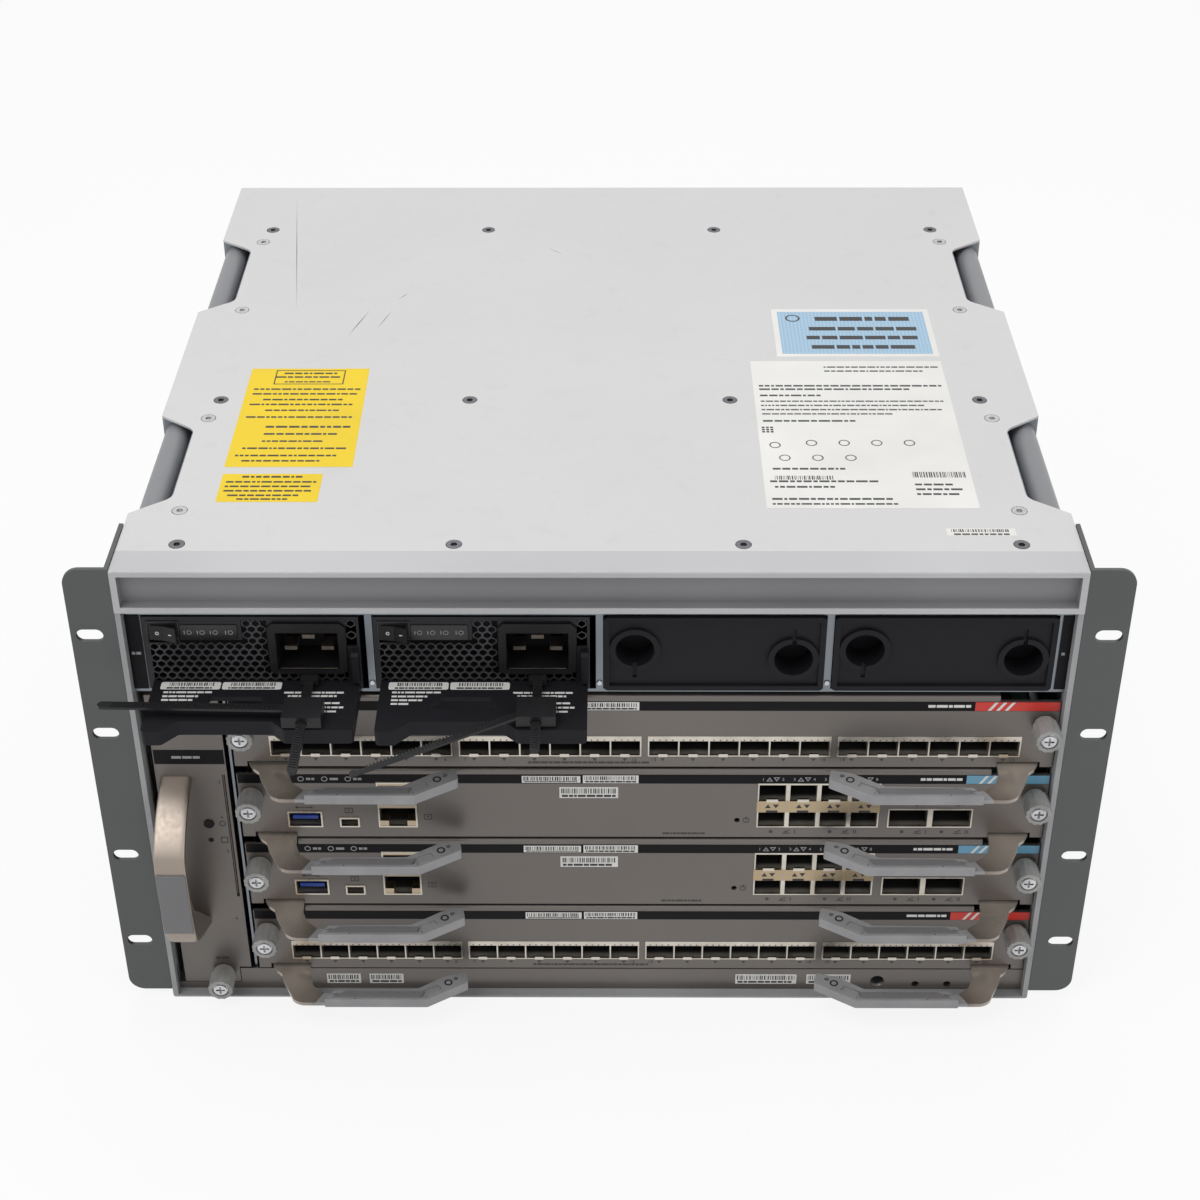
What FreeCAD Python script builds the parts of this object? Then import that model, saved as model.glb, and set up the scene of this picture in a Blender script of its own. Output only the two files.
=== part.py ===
"""Modular chassis switch, six rack units high, for a 19 inch rack.

Frame: +X right, +Y to the back, +Z up, origin at the centre of the underside.
Each sub-part is drawn with Y measured from the front plane of the side walls, and
its placement then moves it half of the chassis depth forward.
"""
import FreeCAD, Part
import Sketcher
import math
import os

SIZES = {
    # name: (millimetres, what it is)
    "chassis_width": (439.4, "outside of the side walls"),
    "chassis_height": (265.9, "six rack units, less clearance"),
    "chassis_depth": (414.0, "front plane to rear panel"),
    "sheet": (1.2, "steel sheet of walls, cover and floor"),
    "clearance": (0.1, "between fixed sheets"),
    "hem_thick": (2.6, "folded front edge of a side wall"),
    "hem_depth": (9.0, "folded front edge of a side wall"),
    "hem_setback": (0.4, "folded front edge behind the front plane"),
    "vent_start": (52.0, "first side vent behind the front plane"),
    "vent_length": (60.0, "side vent"),
    "vent_span": (72.0, "side vents along the wall"),
    "vent_height": (6.0, "side vent"),
    "vent_pitch": (14.5, "rows of side vents"),
    "vent_rise": (8.0, "lowest side vent above the lowest module"),
    "face_setback": (5.5, "faceplates behind the front plane"),
    "lip_height": (15.3, "front lip of the floor"),
    "lip_gap": (0.4, "between the front lip and the fan tray's face"),
    "lip_plug_inset": (76.9, "tapered hole of the lip from the side"),
    "lip_plug_radius": (3.6, "tapered hole of the lip"),
    "lip_plug_height": (7.0, "tapered hole above the base"),
    "lip_screw_inset": (40.9, "outer screw hole of the lip from the side"),
    "lip_screw_pitch": (16.3, "between the lip's screw holes"),
    "lip_screw_radius": (1.9, "screw hole of the lip"),
    "lip_screw_height": (5.0, "screw holes above the base"),
    "bezel_depth": (17.0, "top front bezel"),
    "bezel_height": (22.9, "top front bezel"),
    "bezel_lip": (3.0, "frame round the recessed bezel face"),
    "bezel_round": (0.9, "upper front edge of the bezel"),
    "ear_gap": (0.2, "between an ear and the side wall"),
    "ear_width": (21.4, "rack ear flange beside the chassis"),
    "ear_slot_inset": (8.75, "middle of a mounting slot from the ear's edge"),
    "rack_unit": (44.45, "one rack unit"),
    "ear_thick": (2.0, "rack ear sheet"),
    "ear_leg": (38.0, "ear leg along the side wall"),
    "ear_bottom": (5.5, "underside of the ears"),
    "ear_rise": (0.8, "ear above the cover"),
    "ear_slot_length": (12.5, "mounting slot"),
    "ear_slot_width": (6.8, "mounting slot"),
    "ear_slot_bottom": (39.7, "lowest mounting slot"),
    "ear_setback": (0.6, "ears behind the front plane"),
    "ear_round": (8.0, "outer corners of an ear"),
    "notch_outer": (90.0, "cover notch at the side edge"),
    "notch_inner": (63.0, "cover notch at its flat"),
    "notch_inset": (18.4, "cover notch depth from the side"),
    "notch_front_y": (93.5, "middle of the front notches"),
    "notch_rear_y": (295.7, "middle of the rear notches"),
    "notch_round": (8.0, "inner corners of a cover notch"),
    "cover_hole_radius": (3.8, "cover screw hole"),
    "screw_head_radius": (3.5, "cover screw"),
    "screw_shank_radius": (1.6, "cover screw"),
    "screw_length": (8.2, "cover screw"),
    "screw_recess_radius": (1.7, "hexagonal recess across its corners, halved"),
    "cover_screw_inset": (27.2, "outer cover screws from the side"),
    "cover_screw_inner": (66.0, "inner cover screws from the middle"),
    "cover_screw_front": (5.5, "front row of cover screws behind the bezel"),
    "cover_screw_middle": (52.5, "second row of cover screws in front of the middle"),
    "cover_screw_rear": (59.5, "third row of cover screws from the rear"),
    "handle_screw_inset": (23.7, "handle screws from the side"),
    "handle_screw_end": (2.4, "handle screws inside the end of a notch"),
    "carry_bar_radius": (6.5, "carry handle bar"),
    "carry_bar_drop": (2.0, "carry handle bar below the cover"),
    "pan_clearance": (0.3, "handle recess pan in its notch"),
    "pan_tab_width": (7.0, "screw tab of a recess pan"),
    "pan_tab_reach": (12.0, "screw tab of a recess pan"),
    "pan_gap": (0.3, "handle recess above the ceiling of the power bays"),
    "slot_floor": (16.0, "underside of the lowest module"),
    "slot_pitch": (44.45, "module spacing"),
    "slot_gap": (1.95, "between two modules"),
    "face_thick": (1.5, "module faceplate"),
    "face_side_gap": (0.8, "board beside the ends of its faceplate"),
    "knob_side": (0.15, "thumbscrew inside the end of a faceplate"),
    "face_inset_left": (45.2, "left end of the faceplates from the side"),
    "face_inset_right": (3.2, "right end of the faceplates from the side"),
    "flange_reach": (9.0, "folded top flange of a faceplate"),
    "flange_height": (3.0, "bright top flange of a module"),
    "flange_thick": (1.6, "folded top flange"),
    "flange_inset_left": (26.5, "left end of the top flange from the faceplate's"),
    "flange_inset_right": (28.5, "right end of the top flange from the faceplate's"),
    "board_length": (290.0, "module board behind its faceplate"),
    "board_thick": (1.6, "circuit board"),
    "board_height": (4.6, "underside of the board above the module's"),
    "guide_clearance": (0.3, "round a board in its guides"),
    "guide_thick": (1.2, "guide rail"),
    "guide_start": (12.0, "guide rails behind the faceplates' plane"),
    "guide_short": (8.0, "guide rail shorter than a board"),
    "guide_reach": (4.0, "guide rail over a board's edge"),
    "connector_inset": (92.0, "rear connector from the ends of the faceplate"),
    "connector_length": (12.0, "rear connector"),
    "connector_height": (8.5, "rear connector above the board"),
    "port_pitch": (14.4, "small ports in a row"),
    "port_group_pitch": (90.1, "between two groups of six small ports"),
    "port_group_inset": (17.5, "first group of small ports from the faceplate's left end"),
    "port_height": (8.7, "small port cavity"),
    "port_depth": (44.0, "depth of a port cage"),
    "cage_wall": (0.7, "sheet of a port cage"),
    "cage_gap": (0.15, "between a cage and its window in the faceplate"),
    "cage_lip": (2.9, "roof of a line card's cage"),
    "cage_stand": (0.1, "cage in front of the faceplate"),
    "stack_pitch": (15.0, "columns of the supervisor's double ports"),
    "stack_width": (12.9, "double port cavity"),
    "stack_inset": (139.2, "supervisor's double ports from the faceplate's right end"),
    "stack_low": (9.1, "lower double port cavity"),
    "stack_between": (7.0, "between the double port's cavities"),
    "stack_high": (10.0, "upper double port cavity"),
    "stack_roof": (1.0, "roof of the double ports' cage"),
    "reset_inset": (10.2, "reset hole beside the double ports"),
    "reset_height": (10.8, "reset hole above the module's underside"),
    "reset_radius": (1.4, "reset hole"),
    "wide_inset": (75.5, "supervisor's wide ports from the faceplate's right end"),
    "wide_width": (18.6, "wide port cavity"),
    "wide_post": (2.6, "between the two wide ports"),
    "wide_height": (10.5, "wide port cavity"),
    "jack_inset": (67.5, "network jacks from the faceplate's left end"),
    "jack_width": (17.8, "network jack cavity"),
    "jack_depth": (22.0, "network jack cavity"),
    "jack_height": (12.9, "network jack cavity"),
    "jack_between": (1.2, "between the network jacks"),
    "service_inset": (23.3, "service socket from the faceplate's left end"),
    "service_width": (15.7, "service socket"),
    "service_height": (8.6, "service socket"),
    "service_depth": (18.0, "service socket"),
    "tongue_margin": (1.7, "tongue of the service socket from its sides"),
    "tongue_rise": (3.5, "tongue above the socket's floor"),
    "tongue_thick": (2.0, "tongue of the service socket"),
    "console_inset": (48.5, "console socket from the faceplate's left end"),
    "console_width": (8.5, "console socket"),
    "console_height": (4.7, "console socket"),
    "console_depth": (10.0, "console socket"),
    "lever_thick": (2.0, "lever arm sheet"),
    "lever_reach": (90.0, "pivot to lever tip"),
    "lever_pivot_inset": (18.0, "lever pivot from the end of the faceplate"),
    "lever_notch": (20.5, "notch in the faceplate for a lever arm"),
    "notch_height": (3.0, "notch in the faceplate for a lever arm"),
    "notch_end": (6.0, "notch from the end of the faceplate"),
    "lever_drop": (0.2, "lever arm below the module's underside"),
    "grip_height": (5.4, "moulded lever grip"),
    "pivot_radius": (2.0, "lever pivot pin"),
    "pivot_setback": (2.6, "lever pivot behind the faceplate"),
    "pivot_drop": (0.6, "lever pivot pin below the module's underside"),
    "bracket_bottom": (3.0, "lever bracket above the module's underside"),
    "bracket_width": (8.4, "lever bracket"),
    "bracket_length": (8.0, "lever bracket"),
    "pivot_clearance": (0.06, "running clearance on pins and shafts"),
    "knob_radius": (6.3, "captive thumbscrew"),
    "knob_length": (13.2, "captive thumbscrew cap"),
    "knob_gap": (0.5, "thumbscrew in front of the faceplate"),
    "knob_collar": (2.2, "plain collar behind the fluted cap"),
    "knob_shank": (9.0, "thumbscrew shank"),
    "knob_head_radius": (3.3, "screw head in the front of the cap"),
    "knob_groove": (1.0, "groove round that screw head"),
    "knob_height": (26.2, "thumbscrew above the module's underside"),
    "screw_radius": (2.2, "thumbscrew shank"),
    "fan_face_left": (6.2, "fan tray face from the side"),
    "fan_face_width": (34.6, "fan tray face"),
    "fan_face_bottom": (6.0, "fan tray face above the base"),
    "fan_foot_step": (6.0, "lower right corner of the fan tray's face"),
    "fan_side_gap": (2.0, "fan tray frame inside its face"),
    "fan_top_gap": (2.2, "fan tray below the power bay shelf"),
    "fan_shelf_rise": (3.0, "fan tray frame above the lowest module's underside"),
    "fan_tail": (12.0, "fan tray frame behind the third fan"),
    "fan_slot_width": (1.4, "upright slot in the fan tray's face"),
    "fan_slot_inset": (1.2, "upright slot from the face's right edge"),
    "fan_slot_bottom": (65.0, "upright slot above the base"),
    "fan_slot_top": (144.0, "upright slot above the base"),
    "fan_knob_inset": (20.5, "fan tray thumbscrew from the face's left edge"),
    "fan_knob_rise": (7.2, "fan tray thumbscrew above the face's lower edge"),
    "fan_strut": (8.0, "strut across a fan opening"),
    "fan_radius": (57.0, "fan rotor"),
    "fan_gap": (1.5, "rotor tip clearance"),
    "fan_post": (4.0, "between two fan openings"),
    "fan_handle_width": (15.0, "fan tray handle"),
    "fan_rotor_depth": (20.0, "rotor hub"),
    "fan_motor_depth": (1.8, "motor plate on its strut"),
    "fan_shaft_radius": (2.0, "fan shaft"),
    "bay_floor": (196.0, "power bay floor"),
    "bay_room": (1.2, "power bay opening above a supply"),
    "bay_side_room": (3.2, "power bay opening beside a supply, both sides"),
    "bay_post": (3.3, "between two power bays"),
    "bay_inset": (9.9, "first power bay from the side"),
    "shelf_thick": (1.7, "power bay floor sheet"),
    "backplane_gap": (10.0, "backplane behind the boards"),
    "backplane_thick": (2.4, "backplane"),
    "backplane_connector": (9.7, "backplane connector"),
    "backplane_connector_height": (14.0, "backplane connector"),
    "partition_gap": (2.6, "partition from the faceplates' left end"),
    "partition_setback": (0.3, "partition behind the faceplates"),
    "window_low": (11.0, "air windows above a module's underside"),
    "window_high": (37.0, "top of the air windows above a module's underside"),
    "window_start": (34.0, "first air window behind the front plane"),
    "window_length": (78.0, "air window"),
    "window_span": (88.0, "air windows along the wall"),
    "bay_length": (292.0, "power bay depth"),
    "supply_width": (99.4, "power supply case"),
    "supply_height": (41.0, "power supply case"),
    "supply_length": (282.0, "power supply case"),
    "slide_clearance": (0.3, "between sliding pieces"),
    "latch_slot_bottom": (8.0, "slot of the release tab above the supply's base"),
    "latch_slot_height": (10.0, "slot of the release tab"),
    "latch_slot_width": (4.1, "slot of the release tab"),
    "mesh_radius": (3.0, "hexagonal air hole"),
    "mesh_pitch": (8.7, "air holes in a row"),
    "mesh_row": (3.3, "between two rows of air holes"),
    "mesh_left": (5.5, "first air hole from the supply's left side"),
    "mesh_bottom": (9.0, "lowest air hole above the supply's base"),
    "case_inset": (0.4, "supply case from the left side of its bay"),
    "inlet_width": (35.9, "mains inlet flange"),
    "inlet_height": (28.6, "mains inlet flange"),
    "inlet_inset": (57.3, "mains inlet from the supply's left side"),
    "inlet_rise": (9.5, "mains inlet above the supply's base"),
    "inlet_corner": (2.5, "chamfered corner of the inlet"),
    "inlet_flange": (1.6, "flange of the inlet"),
    "inlet_side": (2.3, "inlet shell inside its flange, sideways"),
    "inlet_under": (1.3, "inlet shell above the flange's lower edge"),
    "inlet_over": (3.9, "inlet shell below the flange's upper edge"),
    "inlet_wall": (1.3, "inlet shell"),
    "inlet_depth": (22.0, "inlet shell"),
    "inlet_floor": (4.6, "back wall of the inlet"),
    "inlet_fit": (0.1, "inlet shell in its hole"),
    "pin_pitch": (8.5, "inlet pins sideways"),
    "pin_low": (10.0, "outer inlet pins above the flange's lower edge"),
    "pin_high": (16.5, "middle inlet pin above the flange's lower edge"),
    "pin_width": (5.6, "inlet pin"),
    "pin_thick": (2.0, "inlet pin"),
    "pin_setback": (4.0, "inlet pins behind the flange's seat"),
    "rocker_inset": (9.6, "rocker's axis from the supply's left side"),
    "rocker_rise": (32.5, "rocker's axis above the supply's base"),
    "rocker_width": (12.0, "rocker"),
    "rocker_height": (8.0, "rocker"),
    "rocker_room": (1.2, "rocker hole at each side"),
    "rocker_fit": (0.3, "rocker hole above and below"),
    "axle_radius": (1.2, "rocker's axle"),
    "axle_reach": (1.2, "rocker's axle beyond the rocker"),
    "axle_setback": (3.0, "rocker's axle behind the supply's front"),
    "handle_reach": (33.0, "supply handle in front of the front plane"),
    "handle_height": (7.8, "supply handle"),
    "handle_rise": (4.7, "top of the supply handle above the supply's base"),
    "handle_wall": (2.6, "walls of the hollow supply handle"),
    "handle_top_wall": (2.4, "top of the hollow supply handle"),
    "handle_side": (2.2, "supply handle inside the supply's left side"),
    "handle_round": (2.4, "outer corners of the supply handle"),
    "latch_inset": (0.6, "release tab inside the supply's right side"),
    "latch_width": (3.4, "release tab"),
    "rail_width": (4.4, "cord retainer rail"),
    "rail_thick": (1.6, "cord retainer rail"),
    "rail_rise": (7.0, "cord retainer rail above the supply's base"),
    "clamp_width": (18.0, "cord clamp"),
    "clamp_length": (15.0, "cord clamp"),
    "clamp_under": (1.6, "cord clamp below its rail"),
    "clamp_over": (2.6, "cord clamp above its rail"),
    "strap_thick": (1.3, "cord strap"),
    "strap_width": (4.4, "cord strap"),
    "cup_radius": (9.0, "finger cup of a blank cover"),
    "cup_rim": (2.75, "rim of a finger cup"),
    "cup_wall": (1.6, "wall of a finger cup"),
    "cup_depth": (12.0, "finger cup behind the cover's front"),
    "cup_spread": (36.6, "finger cups from the middle of the cover"),
    "cup_left_rise": (2.3, "left finger cup above the middle"),
    "cup_right_drop": (2.9, "right finger cup below the middle"),
    "cup_slot_length": (7.5, "upright slot beyond a finger cup"),
    "cup_slot_width": (2.0, "upright slot beyond a finger cup"),
    "blank_front": (1.5, "front border of a blank cover"),
    "blank_depth": (14.0, "blank cover"),
    "blank_wall": (2.0, "side walls of a blank cover"),
    "blank_border": (2.6, "front border of a blank cover"),
    "blank_round": (2.2, "corners of a blank cover"),
}


TIED = {
    # name: (formula, what it is)
    "rack_width": ("=chassis_width + 2 * (ear_gap + ear_width)", "across the rack ears"),
    "rack_hole_spacing": ("=rack_width - 2 * ear_slot_inset", "across the mounting slots"),
    "bay_height": ("=supply_height + bay_room", "power bay opening"),
    "bay_width": ("=supply_width + bay_side_room", "power bay opening"),
    "bay_pitch": ("=bay_width + bay_post", "power bay spacing"),
    "pan_depth": ("=chassis_height - 2 * sheet - pan_gap - bay_floor - bay_height", "handle recess"),
    "port_width": ("=port_pitch - cage_wall", "small port cavity"),
}


class Size:
    """A length that knows its value and the spreadsheet formula it comes from."""

    def __init__(self, value, formula):
        self.value = float(value)
        self.formula = formula

    def join(self, sign, other, value, swap=False):
        left, right = (text(other), self.formula) if swap else (self.formula, text(other))
        return Size(value, f"({left} {sign} {right})")

    def __add__(self, other):
        return self.join("+", other, self.value + number(other))

    def __radd__(self, other):
        return self.join("+", other, number(other) + self.value, True)

    def __sub__(self, other):
        return self.join("-", other, self.value - number(other))

    def __rsub__(self, other):
        return self.join("-", other, number(other) - self.value, True)

    def __mul__(self, other):
        return self.join("*", other, self.value * number(other))

    def __rmul__(self, other):
        return self.join("*", other, number(other) * self.value, True)

    def __truediv__(self, other):
        return self.join("/", other, self.value / number(other))

    def __neg__(self):
        return Size(-self.value, f"(0 - {self.formula})")


def number(size):
    """The plain value of a Size or a number."""
    return size.value if isinstance(size, Size) else float(size)


def text(size):
    """The formula of a Size or a number."""
    return size.formula if isinstance(size, Size) else f"{float(size):.6f}"


def bind(thing, prop, size):
    """Tie one property to a size."""
    thing.setExpression(prop, text(size))


doc = FreeCAD.newDocument("ChassisSwitch")
sheet_object = doc.addObject("Spreadsheet::Sheet", "Dims")
for row, (alias, (value, note)) in enumerate((SIZES | TIED).items(), 1):
    sheet_object.set(f"A{row}", note)
    sheet_object.set(f"B{row}", str(value))
    sheet_object.setAlias(f"B{row}", alias)
doc.recompute()


class Dimensions:
    """The spreadsheet's cells as Size attributes."""


d = Dimensions()
for alias in SIZES | TIED:
    setattr(d, alias, Size(getattr(sheet_object, alias), f"Dims.{alias}"))

half = d.chassis_width / 2
cover_under = d.chassis_height - d.sheet
face_y = d.face_setback
face_back = face_y + d.face_thick
face_left = d.face_inset_left - half
face_right = half - d.face_inset_right
face_height = d.slot_pitch - d.slot_gap
bezel_bottom = d.chassis_height - d.bezel_height
bay_left = [d.bay_inset - half + d.bay_pitch * bay for bay in range(4)]
pan_floor = cover_under - d.pan_depth
knob_left = face_left + d.knob_radius + d.knob_side
knob_right = face_right - d.knob_radius - d.knob_side
fan_left = d.fan_face_left - half
fan_right = fan_left + d.fan_face_width
supply_base = d.bay_floor + d.slide_clearance
nodes = []


def publish(thing, label, x=0, y=0, z=0):
    """Name a finished sub-part and move it from front-plane to centre coordinates."""
    thing.Label = label
    bind(thing, "Placement.Base.x", Size(0, "0") + x)
    bind(thing, "Placement.Base.y", y - d.chassis_depth / 2)
    bind(thing, "Placement.Base.z", Size(0, "0") + z)
    nodes.append(thing)
    return thing


# ---- sketches and features ------------------------------------------------------------

AXES = {"XY": "Z", "XZ": "Y", "YZ": "X"}


def origin_feature(body, role):
    return next(f for f in body.Origin.OriginFeatures if f.Role == role)


def new_body(name):
    return doc.addObject("PartDesign::Body", name)


def new_sketch(body, plane, at=0):
    """A sketch on an origin plane of the body, at a distance along the plane's axis."""
    sketch = body.newObject("Sketcher::SketchObject", "Sketch")
    sketch.AttachmentSupport = [(origin_feature(body, plane + "_Plane"), "")]
    sketch.MapMode = "FlatFace"
    bind(sketch, "AttachmentOffset.Base.z", -at if plane == "XZ" else Size(0, "0") + at)
    return sketch


def fix(sketch, kind, geometry, point, size):
    """Hold a point of the sketch at a distance from its origin."""
    index = sketch.addConstraint(Sketcher.Constraint(kind, -1, 1, geometry, point, number(size)))
    sketch.setExpression(f"Constraints[{index}]", text(size))


def outline(sketch, points):
    """A closed outline. A point is (x, y), or (x, y, cx, cy, turn) where an arc about
    (cx, cy) leads to the next point, anticlockwise where turn is 1."""
    first = sketch.GeometryCount
    total = len(points)
    for index, point in enumerate(points):
        after = points[(index + 1) % total]
        start = FreeCAD.Vector(number(point[0]), number(point[1]), 0)
        end = FreeCAD.Vector(number(after[0]), number(after[1]), 0)
        if len(point) == 2:
            sketch.addGeometry(Part.LineSegment(start, end), False)
            continue
        centre = FreeCAD.Vector(number(point[2]), number(point[3]), 0)
        circle = Part.Circle(centre, FreeCAD.Vector(0, 0, 1), start.distanceToPoint(centre))
        low, high = (start, end) if point[4] > 0 else (end, start)
        angles = [math.atan2(p.y - centre.y, p.x - centre.x) for p in (low, high)]
        if angles[1] <= angles[0]:
            angles[1] += 2 * math.pi
        sketch.addGeometry(Part.ArcOfCircle(circle, *angles), False)
    for index, point in enumerate(points):
        geometry = first + index
        after = first + (index + 1) % total
        start_point = 2 if len(point) > 2 and point[4] < 0 else 1
        end_point = 3 - start_point
        following = points[(index + 1) % total]
        next_point = 2 if len(following) > 2 and following[4] < 0 else 1
        sketch.addConstraint(Sketcher.Constraint("Coincident", geometry, end_point, after, next_point))
        fix(sketch, "DistanceX", geometry, start_point, point[0])
        fix(sketch, "DistanceY", geometry, start_point, point[1])
        if len(point) > 2:
            rise = abs(number(following[1]) - number(point[1]))
            run = abs(number(following[0]) - number(point[0]))
            if rise >= run:
                fix(sketch, "DistanceX", geometry, 3, point[2])
            else:
                fix(sketch, "DistanceY", geometry, 3, point[3])


def rectangle(sketch, x0, y0, x1, y1):
    outline(sketch, [(x0, y0), (x1, y0), (x1, y1), (x0, y1)])


def circle(sketch, x, y, radius):
    centre = FreeCAD.Vector(number(x), number(y), 0)
    geometry = sketch.addGeometry(Part.Circle(centre, FreeCAD.Vector(0, 0, 1), number(radius)), False)
    fix(sketch, "DistanceX", geometry, 3, x)
    fix(sketch, "DistanceY", geometry, 3, y)
    index = sketch.addConstraint(Sketcher.Constraint("Radius", geometry, number(radius)))
    sketch.setExpression(f"Constraints[{index}]", text(radius))


def slot_hole(sketch, x, y, length, width):
    """An upright-ended slot, with its long way along the sketch's x."""
    r = width / 2
    reach = length / 2 - r
    outline(sketch, [(x - reach, y - r), (x + reach, y - r, x + reach, y, 1),
                     (x + reach, y + r), (x - reach, y + r, x - reach, y, 1)])


def pad(body, sketch, length):
    """Thicken a sketch along its plane's positive axis."""
    feature = body.newObject("PartDesign::Pad", "Pad")
    feature.Profile = sketch
    feature.Reversed = sketch_plane(sketch) == "XZ"
    bind(feature, "Length", length)
    return feature


def pocket(body, sketch, length):
    """Cut a sketch into the body along its plane's positive axis."""
    feature = body.newObject("PartDesign::Pocket", "Pocket")
    feature.Profile = sketch
    feature.Reversed = sketch_plane(sketch) != "XZ"
    bind(feature, "Length", length)
    return feature


def sketch_plane(sketch):
    return sketch.AttachmentSupport[0][0].Role[:2]


def repeat(body, features, axis, pitch, count):
    """Repeat features in a line."""
    feature = body.newObject("PartDesign::LinearPattern", "Pattern")
    feature.Originals = features
    feature.Direction = (origin_feature(body, axis + "_Axis"), [""])
    bind(feature, "Length", (Size(0, "0") + pitch) * (count - 1))
    feature.Occurrences = count
    body.Tip = feature
    return feature


def soften(body, kind, size, wanted):
    """Fillet or chamfer the edges of the body's last feature that the test picks."""
    doc.recompute()
    base = body.Tip
    names = [f"Edge{i}" for i, edge in enumerate(base.Shape.Edges, 1) if wanted(edge)]
    feature = body.newObject("PartDesign::" + kind, kind)
    feature.Base = (base, names)
    bind(feature, "Radius" if kind == "Fillet" else "Size", size)
    return feature


def runs_along(edge, axis):
    """True for a straight edge that is parallel to an axis."""
    if edge.Curve.TypeId != "Part::GeomLine":
        return False
    way = edge.Vertexes[1].Point - edge.Vertexes[0].Point
    return abs(getattr(way, axis)) > 0.999 * way.Length


def middle(edge):
    return edge.BoundBox.Center


# ---- primitives -----------------------------------------------------------------------

def box(x0, y0, z0, x1, y1, z1):
    """A box between two corners."""
    thing = doc.addObject("Part::Box", "Box")
    for prop, low, high in (("Length", x0, x1), ("Width", y0, y1), ("Height", z0, z1)):
        bind(thing, prop, (Size(0, "0") + high) - low)
    for axis, low in zip("xyz", (x0, y0, z0)):
        bind(thing, "Placement.Base." + axis, low)
    return thing


TURNS = {"z": FreeCAD.Rotation(), "x": FreeCAD.Rotation(FreeCAD.Vector(0, 1, 0), 90),
         "y": FreeCAD.Rotation(FreeCAD.Vector(1, 0, 0), -90)}


def rod(axis, x, y, z, radius, length):
    """A cylinder that starts at a point and runs along an axis."""
    thing = doc.addObject("Part::Cylinder", "Rod")
    thing.Placement = FreeCAD.Placement(FreeCAD.Vector(), TURNS[axis])
    bind(thing, "Radius", radius)
    bind(thing, "Height", length)
    for name, low in zip("xyz", (x, y, z)):
        bind(thing, "Placement.Base." + name, low)
    return thing


def hexagonal_rod(x, y, z, radius, length):
    """An upright hexagonal prism that starts at a point; the radius reaches its corners."""
    thing = doc.addObject("Part::Prism", "Hexagon")
    thing.Polygon = 6
    bind(thing, "Circumradius", radius)
    bind(thing, "Height", length)
    for name, low in zip("xyz", (x, y, z)):
        bind(thing, "Placement.Base." + name, low)
    return thing


def cone(axis, x, y, z, radius, end_radius, length):
    """A cone that starts at a point and runs along an axis."""
    thing = doc.addObject("Part::Cone", "Cone")
    thing.Placement = FreeCAD.Placement(FreeCAD.Vector(), TURNS[axis])
    bind(thing, "Radius1", radius)
    bind(thing, "Radius2", end_radius)
    bind(thing, "Height", length)
    for name, low in zip("xyz", (x, y, z)):
        bind(thing, "Placement.Base." + name, low)
    return thing


def fuse(*things):
    joined = doc.addObject("Part::MultiFuse", "Fuse")
    joined.Shapes = list(things)
    joined.Refine = True
    return joined


def cut(base, *tools):
    result = doc.addObject("Part::Cut", "Cut")
    result.Base = base
    result.Tool = tools[0] if len(tools) == 1 else fuse(*tools)
    result.Refine = True
    return result


def group(things):
    """Separate solids that make one node."""
    together = doc.addObject("Part::Compound", "Group")
    together.Links = list(things)
    return together


# ---- chassis --------------------------------------------------------------------------

VENT_ROWS = 11


def handle_zones():
    """Middle of each pair of cover notches, front and rear."""
    return (d.notch_front_y, d.notch_rear_y)


def side_wall(name, x):
    """Side sheet with rows of vents, up to the floor of the carry handle recesses."""
    wall = new_body(name)
    sheet_face = new_sketch(wall, "YZ", x)
    rectangle(sheet_face, d.hem_setback, d.sheet, d.chassis_depth, pan_floor)
    pad(wall, sheet_face, d.sheet)
    vents = new_sketch(wall, "YZ", x)
    for row in range(VENT_ROWS):
        z = d.slot_floor + d.vent_rise + d.vent_pitch * row
        rectangle(vents, d.vent_start, z, d.vent_start + d.vent_length, z + d.vent_height)
    vent = pocket(wall, vents, d.sheet)
    repeat(wall, [vent], "Y", d.vent_span, 4)
    return wall


def chassis_floor():
    """Floor sheet with its two long edges rounded by the fold."""
    floor = new_body("shell_floor")
    section = new_sketch(floor, "XZ", d.hem_setback)
    bend = d.sheet
    outline(section, [(-half, bend, bend - half, bend, 1), (bend - half, 0),
                      (half - bend, 0, half - bend, bend, 1), (half, bend)])
    pad(floor, section, d.chassis_depth - d.hem_setback)
    return floor


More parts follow.
